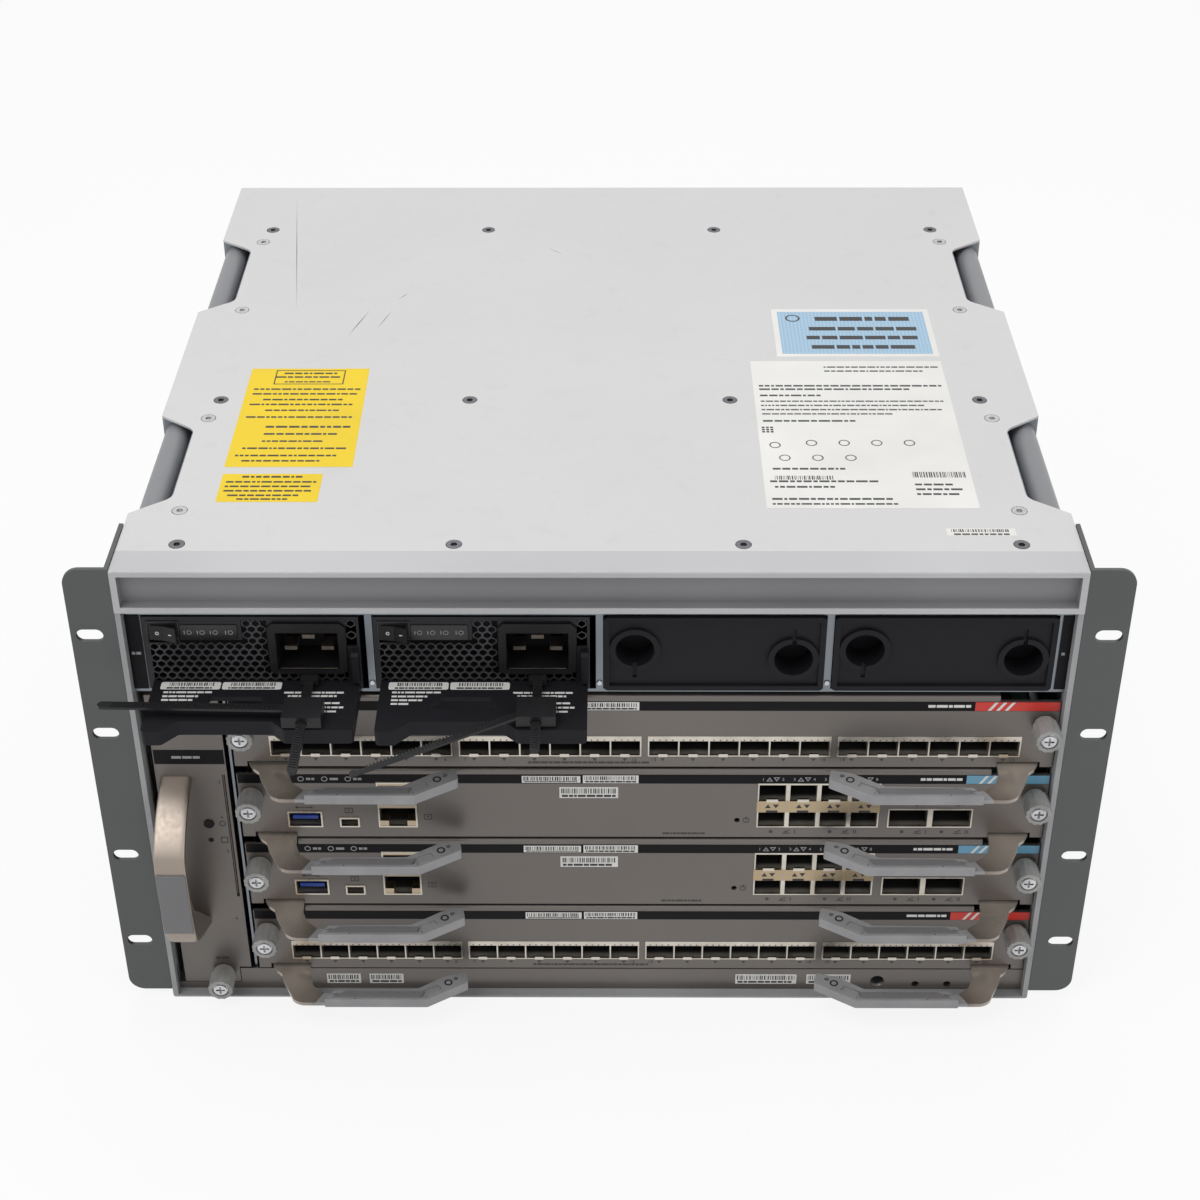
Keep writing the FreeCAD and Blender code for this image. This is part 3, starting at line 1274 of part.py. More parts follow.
def supply_inlet(n):
    """Mains inlet with a chamfered flange and three flat pins."""
    label = f"supply_{n}_inlet"
    body = new_body(label)
    right, top = inlet_left + d.inlet_width, inlet_base + d.inlet_height
    flange = new_sketch(body, "XZ", face_y - d.inlet_flange)
    corner = d.inlet_corner
    outline(flange, [(inlet_left + corner, inlet_base), (right - corner, inlet_base),
                     (right, inlet_base + corner), (right, top - corner), (right - corner, top),
                     (inlet_left + corner, top), (inlet_left, top - corner),
                     (inlet_left, inlet_base + corner)])
    pad(body, flange, d.inlet_flange)
    shell = new_sketch(body, "XZ", face_y)
    rectangle(shell, inlet_left + d.inlet_side, inlet_base + d.inlet_under,
              right - d.inlet_side, top - d.inlet_over)
    pad(body, shell, d.inlet_depth)
    cavity = new_sketch(body, "XZ", face_y - d.inlet_flange)
    wall = d.inlet_wall
    rectangle(cavity, inlet_left + d.inlet_side + wall, inlet_base + d.inlet_under + wall,
              right - d.inlet_side - wall, top - d.inlet_over - wall)
    pocket(body, cavity, d.inlet_flange + d.inlet_depth - d.inlet_floor)
    pins = new_sketch(body, "XZ", face_y + d.pin_setback)
    for way, rise in ((-1, d.pin_low), (0, d.pin_high), (1, d.pin_low)):
        left = rail_x + way * d.pin_pitch - d.pin_width / 2
        rectangle(pins, left, inlet_base + rise, left + d.pin_width, inlet_base + rise + d.pin_thick)
    pad(body, pins, d.inlet_depth - d.inlet_floor - d.pin_setback + 1)
    return publish_supply(body, label, n)


def supply_rocker(n):
    """Rocker switch, stored pressed at its left half."""
    label = f"supply_{n}_rocker"
    body = new_body(label)
    x, reach = d.rocker_inset, d.rocker_width / 2
    profile = new_sketch(body, "XY", d.rocker_rise - d.rocker_height / 2)
    outline(profile, [(x - reach + 1.2, face_y + 4.5), (x - reach, face_y - 0.6), (x, face_y - 1.4),
                      (x + reach, face_y - 3.4), (x + reach - 1.2, face_y + 4.5)])
    pad(body, profile, d.rocker_height)
    axle = new_sketch(body, "XY", d.rocker_rise - d.rocker_height / 2 - d.axle_reach)
    circle(axle, x, face_y + d.axle_setback, d.axle_radius)
    pad(body, axle, d.rocker_height + 2 * d.axle_reach)
    return publish_supply(body, label, n)


def supply_handle(n):
    """Moulded pull tray under the inlet: lobed front, hollow underside and a finger window."""
    label = f"supply_{n}_handle"
    body = new_body(label)
    base = handle_top - d.handle_height
    left, right = d.handle_side, d.supply_width - d.handle_side / 2
    front, wall = -d.handle_reach, d.handle_wall
    plan = new_sketch(body, "XY", base)
    outline(plan, [(left, face_y), (left, front), (11, front), (18, front + 7.7),
                   (right - 37.4, front + 7.7), (right - 31.3, front + 1.5), (right, front + 1.5),
                   (right, face_y)])
    pad(body, plan, d.handle_height)
    soften(body, "Fillet", d.handle_round, lambda e: runs_along(e, "z") and middle(e).y < 0)
    hollow = new_sketch(body, "XY", base)
    outline(hollow, [(left + wall, face_y - wall), (left + wall, front + wall), (10, front + wall),
                     (17, front + 7.7 + wall), (right - 36.3, front + 7.7 + wall),
                     (right - 30.2, front + 1.5 + wall), (right - wall, front + 1.5 + wall),
                     (right - wall, face_y - wall)])
    pocket(body, hollow, d.handle_height - d.handle_top_wall)
    window = new_sketch(body, "XY", base)
    outline(window, [(25, -16), (57.6, -16), (54, -7.2), (30.5, -7.2)])
    pocket(body, window, d.handle_height)
    return publish_supply(body, label, n)


def supply_latch(n):
    """Release tab beside the inlet."""
    label = f"supply_{n}_latch"
    body = new_body(label)
    left = d.supply_width - d.latch_inset - d.latch_width
    tab = new_sketch(body, "YZ", left)
    outline(tab, [(1.0, handle_top + 1.5), (5.2, handle_top + 0.5), (5.2, 23), (2.2, 23), (1.0, 21.5)])
    pad(body, tab, d.latch_width)
    stem = new_sketch(body, "XZ", 5.0)
    rectangle(stem, left + 0.7, d.latch_slot_bottom + 1, left + 2.3,
              d.latch_slot_bottom + d.latch_slot_height - 1)
    pad(body, stem, 8)
    return publish_supply(body, label, n)


def retainer_length(n):
    """The two retainers stand out by different amounts."""
    return {1: 66.0, 2: 51.0}[n]


def supply_rail(n):
    """Toothed nylon rail of the cord retainer, rooted under the inlet."""
    label = f"supply_{n}_retainer_rail"
    body = new_body(label)
    root = new_sketch(body, "YZ", rail_x - 4)
    outline(root, [(0, 6.0), (face_y, 5.4), (face_y, 9.2), (0, 9.0)])
    pad(body, root, 8)
    rail = new_sketch(body, "XY", d.rail_rise)
    side = d.rail_width / 2
    end = side - retainer_length(n)
    outline(rail, [(rail_x - side, 0.5), (rail_x - side, end, rail_x, end, 1),
                   (rail_x + side, end), (rail_x + side, 0.5)])
    pad(body, rail, d.rail_thick)
    return publish_supply(body, label, n)


def supply_clamp(n):
    """Cord clamp on its rail, with the loose tail of its strap."""
    label = f"supply_{n}_retainer_clamp"
    body = new_body(label)
    back = {1: -16.0, 2: -15.0}[n]
    base = new_sketch(body, "XZ", back - d.clamp_length)
    half_clamp, half_rail, gap = d.clamp_width / 2, d.rail_width / 2, d.slide_clearance
    rail_top = d.rail_rise + d.rail_thick
    rectangle(base, rail_x - half_clamp, d.rail_rise - d.clamp_under,
              rail_x + half_clamp, rail_top + d.clamp_over)
    rectangle(base, rail_x - half_rail - gap, d.rail_rise - gap,
              rail_x + half_rail + gap, rail_top + gap)
    pad(body, base, d.clamp_length)
    tail = new_sketch(body, "XY", rail_top + 0.6)
    if n == 1:
        tip = d.strap_width / 2
        outline(tail, [(rail_x - 8, back - 4), (-16.5, back - 2, -16.5, back - 2 - tip, 1),
                       (-16.5, back - 2 - 2 * tip), (rail_x - 8, back - 4 - 2 * tip)])
    else:
        outline(tail, [(rail_x - 8, back - 10), (-1.6, back - 51.5, -2.7, back - 53.4, 1),
                       (-3.8, back - 55.3), (rail_x - 8, back - 14.4)])
    pad(body, tail, d.strap_thick)
    return publish_supply(body, label, n)


def blank_cover(n):
    """Moulded cover of an empty power bay, with a raised border and two finger cups."""
    label = f"blank_cover_{n}"
    body = new_body(label)
    width = d.bay_width - 2 * d.slide_clearance
    height = d.bay_height - 2 * d.slide_clearance
    front = face_y - d.blank_front
    block = new_sketch(body, "XZ", front)
    rectangle(block, 0, 0, width, height)
    pad(body, block, d.blank_depth)
    soften(body, "Fillet", d.blank_round, lambda e: runs_along(e, "y"))
    recess = new_sketch(body, "XZ", front)
    border = d.blank_border
    rectangle(recess, border, border, width - border, height - border)
    pocket(body, recess, d.blank_front)
    hollow = new_sketch(body, "XZ", face_y + d.blank_wall)
    wall = d.blank_wall
    rectangle(hollow, wall, wall, width - wall, height - wall)
    pocket(body, hollow, d.blank_depth)
    places = [(width / 2 - d.cup_spread, height / 2 + d.cup_left_rise),
              (width / 2 + d.cup_spread, height / 2 - d.cup_right_drop)]
    rims = new_sketch(body, "XZ", front)
    cups = new_sketch(body, "XZ", face_y + d.blank_wall / 2)
    bowls = new_sketch(body, "XZ", front)
    slots = new_sketch(body, "XZ", front)
    for (x, z), way in zip(places, (-1, 1)):
        circle(rims, x, z, d.cup_radius + d.cup_rim)
        circle(cups, x, z, d.cup_radius + d.cup_wall)
        circle(bowls, x, z, d.cup_radius)
        ends = sorted((z + way * (d.cup_radius - 1), z + way * (d.cup_radius + d.cup_slot_length)),
                      key=number)
        rectangle(slots, x - d.cup_slot_width / 2, ends[0], x + d.cup_slot_width / 2, ends[1])
    pad(body, rims, 2 * d.blank_front)
    pad(body, cups, d.cup_depth + d.blank_wall / 2)
    pocket(body, bowls, d.cup_depth + d.blank_front)
    pocket(body, slots, d.blank_front + d.blank_wall / 2)
    return publish(body, label, bay_left[n - 1] + d.slide_clearance, 0,
                   d.bay_floor + d.slide_clearance)


# ---- the whole switch -----------------------------------------------------------------

chassis_shell()
top_cover()
front_bezel()
rear_panel()
rack_ear("rack_ear_left", -1)
rack_ear("rack_ear_right", 1)
carry_bars()
handle_pans()
power_bays()
fan_partition()
right_guides()
backplane()
screws("cover_screws", cover_screw_places())
screws("handle_screws", handle_screw_places())
for slot in range(1, 5):
    supervisor = slot in (2, 3)
    faceplate(slot, supervisor)
    module_board(slot, supervisor)
    for side, name in ((-1, "left"), (1, "right")):
        lever(slot, side)
        knob_x = knob_left if side < 0 else knob_right
        thumbscrew(f"slot_{slot}_thumbscrew_{name}", knob_x, slot_z(slot) + d.knob_height)
fan_tray()
fan_handle()
thumbscrew("fan_tray_thumbscrew", *fan_knob_place)
for fan in (1, 2, 3):
    fan_rotor(fan)
for n in (1, 2):
    supply_case(n)
    supply_inlet(n)
    supply_rocker(n)
    supply_handle(n)
    supply_latch(n)
    supply_rail(n)
    supply_clamp(n)
for n in (3, 4):
    blank_cover(n)

doc.recompute()

faults = [f"{thing.Name} ({thing.Label})" for thing in doc.Objects
          if {"Invalid", "Error"} & set(thing.State)]
for feature in doc.Objects:
    if feature.TypeId in ("PartDesign::Pocket", "PartDesign::Groove") and not faults:
        if feature.Shape.Volume > feature.BaseFeature.Shape.Volume - 1e-6:
            faults.append(f"{feature.Name} cuts nothing")
for node in nodes:
    if node.Shape.isNull() or not node.Shape.isValid():
        faults.append(f"{node.Label} has no valid shape")
if faults:
    raise RuntimeError("; ".join(faults))

os.makedirs("parts", exist_ok=True)
for node in nodes:
    node.Shape.exportStep(f"parts/{node.Label}.step")
print(len(nodes), "sub-parts written")
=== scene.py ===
# %% [markdown]
# # A modular chassis switch
# The metalwork comes from CAD as a fixed frame: every panel, lever and thumbscrew is already at its real
# size and place. This lesson gives each of them a finish, and adds what a CAD model leaves out: the
# printed strips, stickers, port fittings, the fine mesh of the power supplies and the cord ratchets.
# %% Load the frame
import math
import bpy
import numpy as np
from mathutils import Matrix, Vector


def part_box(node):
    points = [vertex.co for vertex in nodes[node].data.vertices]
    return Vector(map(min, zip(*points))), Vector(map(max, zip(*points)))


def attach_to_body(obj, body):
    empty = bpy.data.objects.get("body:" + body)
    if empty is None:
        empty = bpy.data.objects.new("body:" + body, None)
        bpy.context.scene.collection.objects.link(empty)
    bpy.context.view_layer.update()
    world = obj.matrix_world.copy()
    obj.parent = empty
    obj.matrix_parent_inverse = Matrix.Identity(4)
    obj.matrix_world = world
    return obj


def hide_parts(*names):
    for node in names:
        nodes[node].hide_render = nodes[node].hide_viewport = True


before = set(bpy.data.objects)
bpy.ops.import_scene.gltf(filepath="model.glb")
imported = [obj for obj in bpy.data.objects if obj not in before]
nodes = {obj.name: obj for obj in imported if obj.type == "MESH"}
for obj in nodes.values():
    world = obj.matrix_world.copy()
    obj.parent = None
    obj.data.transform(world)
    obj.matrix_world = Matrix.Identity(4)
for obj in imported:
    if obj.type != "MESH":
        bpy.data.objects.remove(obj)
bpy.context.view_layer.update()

scene = bpy.context.scene
print("nodes:", len(nodes))

# %% [markdown]
# Lengths on a product like this are quoted in millimetres from its front plane, just before the folded
# front edge of the side walls. One helper turns such a place into the frame's metres, so the numbers
# below stay readable. Slots are counted from the top, and power supplies from the left.
# %% Places in millimetres
SLOTS, LINE_CARDS, SUPERVISORS, SUPPLIES = (1, 2, 3, 4), (1, 4), (2, 3), (1, 2)
SIDES = ((-1, "left"), (1, "right"))
HEM_SETBACK = 0.0004  # metres from the front plane back to the side walls' folded edge
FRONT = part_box("chassis_shell")[0].y - HEM_SETBACK
BELOW_MODULE = 0.6   # how far a board node reaches below its module's underside
SLOT_FLOOR = {n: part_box(f"slot_{n}_board")[0].z * 1000 + BELOW_MODULE for n in SLOTS}
FACE_Y = (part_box("slot_1_faceplate")[0].y - FRONT) * 1000
FACE_LEFT, FACE_RIGHT = (corner.x * 1000 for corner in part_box("slot_1_faceplate"))
COVER_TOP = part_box("top_cover")[1].z * 1000
BOARD_TOP = 6.2      # circuit board's upper face above a module's underside


def place(points):
    """Millimetres from the front plane to metres in the frame, for an array of points."""
    points = np.asarray(points, float) / 1000.0
    return points + np.array([0.0, FRONT, 0.0])


print("front plane", round(FRONT, 4), "slots", {n: round(z, 2) for n, z in SLOT_FLOOR.items()})

# %% [markdown]
# ## The camera
# A product is usually shown from above its front edge, with a normal lens. A camera is fully described
# by where it stands, how far it looks down, its small turn and roll, and its lens. Building its matrix
# from those three angles keeps every number meaningful.
# %% Camera
CAMERA_MM = (4.95, -784.13, 804.53)
LOOK_DOWN, TURN, ROLL = 0.5782, 0.0087, -0.0043      # radians
SENSOR_MM, LENS_MM = 36.0, 63.862
SHIFT_X, SHIFT_Y = 0.0050, -0.0651                   # shares of the sensor's width


def camera_axes(down, turn, roll):
    """Right, up and forward of a camera that looks along +Y, then is turned, tipped and rolled.

    forward = cos(down) ahead - sin(down) z, up = sin(down) ahead + cos(down) z, and the roll turns
    right and up about forward.
    """
    side = np.array([math.cos(turn), math.sin(turn), 0.0])
    ahead = np.array([-math.sin(turn), math.cos(turn), 0.0])
    forward = math.cos(down) * ahead - math.sin(down) * np.array([0, 0, 1.0])
    up = math.sin(down) * ahead + math.cos(down) * np.array([0, 0, 1.0])
    right = math.cos(roll) * side + math.sin(roll) * up
    up = -math.sin(roll) * side + math.cos(roll) * up
    return right, up, forward


camera_data = bpy.data.cameras.new("camera")
camera = bpy.data.objects.new("camera", camera_data)
scene.collection.objects.link(camera)
right, up, forward = camera_axes(LOOK_DOWN, TURN, ROLL)
matrix = np.eye(4)
matrix[:3, 0], matrix[:3, 1], matrix[:3, 2] = right, up, -forward
matrix[:3, 3] = place(CAMERA_MM)
camera.matrix_world = Matrix(matrix.tolist())
camera_data.sensor_width, camera_data.lens = SENSOR_MM, LENS_MM
camera_data.shift_x, camera_data.shift_y = SHIFT_X, SHIFT_Y
scene.camera = camera
scene.view_settings.view_transform = "Standard"
print("lens", camera_data.lens)

# %% [markdown]
# ## Shader arithmetic
# A material is a small program. Wrapping a socket in a class with Python's operators lets that program
# be written as an expression: `height * 0.5 + grain` adds the two Math nodes by itself.
# %% Signals


class Signal:
    """A node's output on which + - * / work, each adding one Math node."""

    def __init__(self, finish, socket):
        self.finish, self.socket = finish, socket

    def _math(self, operation, first, second):
        """One Math node on two values or signals."""
        return self.finish.add("ShaderNodeMath", {"operation": operation}, {0: first, 1: second})

    def __add__(self, other):
        return self._math("ADD", self, other)

    __radd__ = __add__

    def __sub__(self, other):
        return self._math("SUBTRACT", self, other)

    def __rsub__(self, other):
        return self._math("SUBTRACT", other, self)

    def __mul__(self, other):
        return self._math("MULTIPLY", self, other)

    __rmul__ = __mul__

    def above(self, limit):
        """1 where the signal is greater than the limit, else 0."""
        return self._math("GREATER_THAN", self, limit)


print("signal operators: + - * and above")

# %% [markdown]
# A finish holds one Principled shader, and its methods add the nodes that feed it: noise for drift and
# grain, a range that sets how strong it is, a blend of two colours, and a bump for relief.
# %% Colours and finishes


def linear(red, green, blue):
    """An sRGB colour of 0 to 255 as the linear colour that shaders use."""
    channels = np.array([red, green, blue]) / 255.0
    low, high = channels / 12.92, ((channels + 0.055) / 1.055) ** 2.4
    return tuple(np.where(channels <= 0.04045, low, high)) + (1.0,)


class Finish:
    """A material built from one Principled shader."""

    def __init__(self, name, **constants):
        self.material = bpy.data.materials.new(name)
        self.material.use_nodes = True
        self.tree = self.material.node_tree
        self.tree.nodes.clear()
        self.shader = self.tree.nodes.new("ShaderNodeBsdfPrincipled")
        output = self.tree.nodes.new("ShaderNodeOutputMaterial")
        self.tree.links.new(self.shader.outputs[0], output.inputs[0])
        self.set(**constants)

    def add(self, kind, settings=None, inputs=None, out=0):
        """One node: its settings first, then its inputs as values or signals."""
        node = self.tree.nodes.new(kind)
        for key, value in (settings or {}).items():
            setattr(node, key, value)
        for key, value in (inputs or {}).items():
            self.feed(node.inputs[key], value)
        return Signal(self, node.outputs[out])

    def feed(self, socket, value):
        """A signal is linked to the socket; a plain value is set on it."""
        if isinstance(value, Signal):
            self.tree.links.new(value.socket, socket)
        else:
            socket.default_value = value

    def set(self, **values):
        """Values or signals for the shader's sockets: Base_Color stands for Base Color."""
        for key, value in values.items():
            self.feed(self.shader.inputs[key.replace("_", " ")], value)
        return self

    def coords(self, stretch=(1, 1, 1)):
        """The piece's own coordinates in metres, stretched to lengthen a pattern."""
        here = self.add("ShaderNodeTexCoord", out="Object")
        return self.add("ShaderNodeMapping", {}, {"Vector": here, "Scale": stretch})

    def axis(self, letter):
        """One of the piece's own coordinates, in metres."""
        return self.add("ShaderNodeSeparateXYZ", {}, {0: self.coords()}, out=letter)

    def noise(self, scale, detail=2.0, stretch=(1, 1, 1), rough=0.5):
        """Fractal noise with scale cells to the metre."""
        return self.add("ShaderNodeTexNoise", {}, {"Vector": self.coords(stretch), "Scale": scale,
                                                   "Detail": detail, "Roughness": rough})

    def grey(self, signal, low, high, at=(0.3, 0.7)):
        """A signal spread from low to high between two levels of its own value."""
        return self.add("ShaderNodeMapRange", {}, {"Value": signal, "From Min": at[0], "From Max": at[1],
                                                   "To Min": low, "To Max": high})

    def blend(self, factor, first, second):
        """Two colours mixed by a factor."""
        return self.add("ShaderNodeMix", {"data_type": "RGBA"}, {0: factor, 6: first, 7: second}, out=2)

    def mottle(self, signal, first, second):
        """Two colours spread over the middle of a signal's range."""
        return self.blend(self.grey(signal, 0.0, 1.0), first, second)

    def bump(self, height, distance):
        """A height of 0 to 1 as relief of that distance in metres."""
        return self.add("ShaderNodeBump", {}, {"Height": height, "Distance": distance, "Strength": 1.0})


def shade(colour, factor):
    """A colour times a factor, kept at or below 1."""
    return tuple(min(1.0, channel * factor) for channel in colour[:3]) + (1.0,)


print("middle grey in linear light:", round(float(linear(128, 128, 128)[0]), 3))

# %% [markdown]
# ## Finishes
# Powder coat is a paint that melts into a skin of tiny bumps, about a millimetre across, with a slow
# drift in tone over a panel. Zinc and stainless sheet carry fine lines along the direction they were
# rolled. Moulded plastic has a sparkle of grain. Each is one short function of a few numbers.
# %% Painted, rolled and moulded


def painted(name, colour, rough=0.45, grain=1500.0, metallic=0.0, drift=0.06, depth=2.5e-5, dirt=0.0):
    """Powder coat: a slow drift in tone, a fine bump, and spots of dirt where a third noise is high."""
    finish = Finish(name, Metallic=metallic)
    slow = finish.noise(9.0, 3.0)
    fine = finish.noise(grain, 2.0)
    tone = finish.mottle(slow, shade(colour, 1.0 - drift), shade(colour, 1.0 + drift))
    if dirt:
        spots = finish.grey(finish.noise(60.0, 6.0, rough=0.7), 0.0, dirt, at=(0.55, 0.85))
        tone = finish.blend(spots, tone, shade(colour, 0.55))
    finish.set(Base_Color=tone, Roughness=finish.grey(slow, rough - 0.05, rough + 0.06) + fine * 0.05)
    finish.set(Normal=finish.bump(fine, depth))
    return finish.material


def rolled(name, colour, rough=0.32, along="x", metallic=1.0, drift=0.10, lines=240.0):
    """Metal sheet: noise stretched fifty times along one axis makes its rolling lines."""
    stretch = tuple(0.02 if axis == along else 1.0 for axis in "xyz")
    finish = Finish(name, Metallic=metallic)
    streak = finish.noise(lines, 4.0, stretch)
    cloud = finish.noise(14.0, 4.0, rough=0.6)
    tone = finish.mottle(cloud * 0.6 + streak * 0.4, shade(colour, 1 - drift), shade(colour, 1 + drift))
    finish.set(Base_Color=tone, Roughness=finish.grey(streak, rough - 0.05, rough + 0.1)
               + finish.grey(cloud, 0.0, 0.08))
    finish.set(Normal=finish.bump(streak, 1.2e-5))
    return finish.material


def moulded(name, colour, rough=0.5, grain=2600.0, depth=2e-5, drift=0.05, wear=0.0, shine=0.5):
    """Plastic: a slow drift in tone, a fine grain, and paler rubbed places where a third noise is high."""
    finish = Finish(name, Specular_IOR_Level=shine)
    fine = finish.noise(grain, 2.0)
    slow = finish.noise(25.0, 4.0)
    tone = finish.mottle(slow, shade(colour, 1 - drift), shade(colour, 1 + drift))
    if wear:
        rubbed = finish.grey(finish.noise(220.0, 5.0, rough=0.65), 0.0, wear, at=(0.58, 0.75))
        tone = finish.blend(rubbed, tone, shade(colour, 2.2))
    finish.set(Base_Color=tone, Roughness=finish.grey(slow, rough - 0.06, rough + 0.06))
    finish.set(Normal=finish.bump(fine, depth))
    return finish.material


print("finishes: painted, rolled, moulded")

# %% [markdown]
# The object's own materials follow: light paint on the cover, satin grey on the faceplates, zinc inside,
# nickel on the handle, and several blacks that differ in how much they shine. A dark plastic gets a low
# specular level, because otherwise the lamps turn it grey.
# %% Materials
cover_grey = painted("cover_powder_coat", linear(206, 205, 205), rough=0.5, drift=0.02, dirt=0.18)
shell_grey = painted("shell_powder_coat", linear(176, 177, 178), rough=0.45, drift=0.03, dirt=0.15)
bar_grey = painted("carry_bar_paint", linear(128, 129, 132), rough=0.35, drift=0.04, dirt=0.25)
face_grey = painted("faceplate_satin", linear(112, 107, 103), rough=0.34, metallic=0.6, drift=0.06)
strip_black = moulded("label_strip", linear(17, 15, 19), rough=0.4, shine=0.12)
zinc = rolled("zinc_sheet", linear(128, 134, 140), rough=0.3)
ear_metal = rolled("ear_sheet", linear(92, 95, 94), rough=0.42, along="z", metallic=0.8)
port_tin = rolled("port_tin", linear(205, 198, 186), rough=0.25, lines=700.0)
port_brass = rolled("port_brass", linear(178, 160, 132), rough=0.3, lines=700.0)
nickel = rolled("satin_nickel", linear(158, 147, 137), rough=0.34, along="z", drift=0.05, lines=500.0)
screw_steel = rolled("screw_steel", linear(196, 196, 198), rough=0.22, along="z", lines=900.0)
dark_steel = rolled("black_screw", linear(112, 112, 116), rough=0.32, lines=900.0)
panel_grey = moulded("handle_insert", linear(112, 112, 114), rough=0.4)
charcoal = moulded("charcoal_plastic", linear(28, 27, 31), rough=0.48, wear=0.04, shine=0.15)
black = moulded("black_plastic", linear(24, 24, 26), rough=0.4, shine=0.3)
nylon = moulded("nylon", linear(28, 28, 30), rough=0.38, wear=0.08, shine=0.35)
supply_black = painted("supply_black", linear(42, 42, 45), rough=0.4, metallic=0.5, drift=0.08)
mesh_steel = painted("mesh_steel", linear(78, 77, 80), rough=0.34, metallic=0.6, drift=0.08)
board_green = moulded("solder_mask", linear(28, 74, 52), rough=0.35)
usb_blue = moulded("usb_tongue", linear(24, 60, 150), rough=0.35)
fan_black = moulded("fan_plastic", linear(40, 40, 42), rough=0.45)
print("materials:", len(bpy.data.materials))

# %% [markdown]
# A lever is one part made of two materials: a satin steel arm and a grip moulded over its end. The
# boundary is a slanted line, so the mask is the distance past that line, worked out from the piece's
# own coordinates.
# %% Two-tone lever
JOINT_REACH = 34.5   # from a faceplate's end inwards to the joint, at the depth below
JOINT_DEPTH = 0.016  # metres in front of the front plane


def lever_finish(name, joint_x, side, slope=0.55):
    """Steel on the pivot's side of a slanted joint, grey plastic on the grip's side.

    past = -side (x - joint) - slope (y - depth) is positive on the grip, and its distance below zero
    paints a highlight on the steel, light at the pivot and fading dark towards the joint.
    """
    finish = Finish(name)
    here = finish.axis("X")
    depth = finish.axis("Y")
    past = (here - joint_x / 1000.0) * float(-side) - (depth - (FRONT - JOINT_DEPTH)) * slope
    mask = past.above(0.0)
    fine = finish.noise(900.0, 3.0)
    cloud = finish.noise(60.0, 4.0)
    # painted highlight: the steel is lit towards the pivot and falls dark towards the joint
    along = finish.grey(past, 1.0, 0.0, at=(-0.026, -0.001))
    light = finish.grey(cloud, 0.0, 0.2) + along * 0.8
    steel = finish.blend(light, linear(126, 117, 110), linear(216, 205, 193))
    plastic = finish.mottle(cloud, linear(142, 142, 144), linear(158, 158, 160))
    finish.set(Base_Color=finish.blend(mask, steel, plastic), Metallic=(1.0 - mask) * 0.6,
               Roughness=mask * 0.16 + finish.grey(cloud, 0.26, 0.38))
    finish.set(Normal=finish.bump(fine, 1.5e-5))
    return finish.material


print("lever joint", JOINT_REACH, "mm from the faceplate's end")

# %% [markdown]
# A captive thumbscrew is a steel screw in a grey fluted cap, so its finish is chosen by the distance
# from its own axis. A module's board node holds the green board and its tin cages, whose dark inside is
# painted shade: height separates board from cage, and the shade deepens with depth behind the faceplate.
# %% Thumbscrew and board finishes
SCREW_RADIUS = 0.0036


def knob_finish(name, node):
    """Steel where the distance from the axis, the length of (x, 0, z), is within the screw's radius."""
    low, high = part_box(node)
    finish = Finish(name)
    here = finish.add("ShaderNodeMapping", {}, {
        "Vector": finish.coords(), "Location": (-(low.x + high.x) / 2, 0, -(low.z + high.z) / 2),
        "Scale": (1, 0, 1)})
    reach = finish.add("ShaderNodeVectorMath", {"operation": "LENGTH"}, {0: here}, out="Value")
    mask = reach.above(SCREW_RADIUS)
    cloud = finish.noise(120.0, 4.0)
    steel = finish.mottle(cloud, linear(176, 176, 178), linear(214, 214, 216))
    cap = finish.mottle(cloud, linear(140, 140, 138), linear(168, 168, 166))
    finish.set(Base_Color=finish.blend(mask, steel, cap), Metallic=1.0 - mask,
               Roughness=mask * 0.18 + finish.grey(cloud, 0.2, 0.3))
    finish.set(Normal=finish.bump(finish.noise(1800.0), 1.5e-5))
    return finish.material


def board_finish(name, n):
    """Green below the board's top, tin above it, and painted shade in the cages that deepens with depth
    behind the faceplate.
    """
    finish = Finish(name)
    up = finish.axis("Z")
    back = finish.axis("Y")
    cage = up.above((SLOT_FLOOR[n] + BOARD_TOP + 0.05) / 1000.0)
    mouth, dark = (FRONT + (FACE_Y + depth) / 1000 for depth in (0.4, 5.0))
    # painted shade: the cage's throat darkens from its mouth to five millimetres behind the faceplate
    painted_throat_shade = finish.grey(back, 0.0, 1.0, at=(mouth, dark))
    cloud = finish.noise(90.0, 4.0)
    lip = finish.mottle(cloud, linear(186, 178, 166), linear(214, 208, 198))
    tin = finish.blend(painted_throat_shade, lip, linear(34, 33, 32))
    finish.set(Base_Color=finish.blend(cage, linear(28, 74, 52), tin),
               Metallic=cage * (1.0 - painted_throat_shade), Roughness=finish.grey(cloud, 0.24, 0.38) + painted_throat_shade * 0.3)
    finish.set(Normal=finish.bump(finish.noise(700.0, 3.0), 1.5e-5))
    return finish.material


print("thumbscrew's steel reaches", SCREW_RADIUS, "m from its axis")

# %% [markdown]
# The shell is painted in two tones, and the bezel's recessed panel is darkened with painted shade. Where
# the tones meet at a fixed depth or height, a mask of a few comparisons is simpler than a second material
# and follows the metal exactly.
# %% Two-tone paint
LIP_LOW, LIP_HIGH = 0.0013, 0.0162       # heights between which the front lip shows, in metres
BEZEL_FRAME = 0.0025                     # height of the bezel's frame above and below its panel


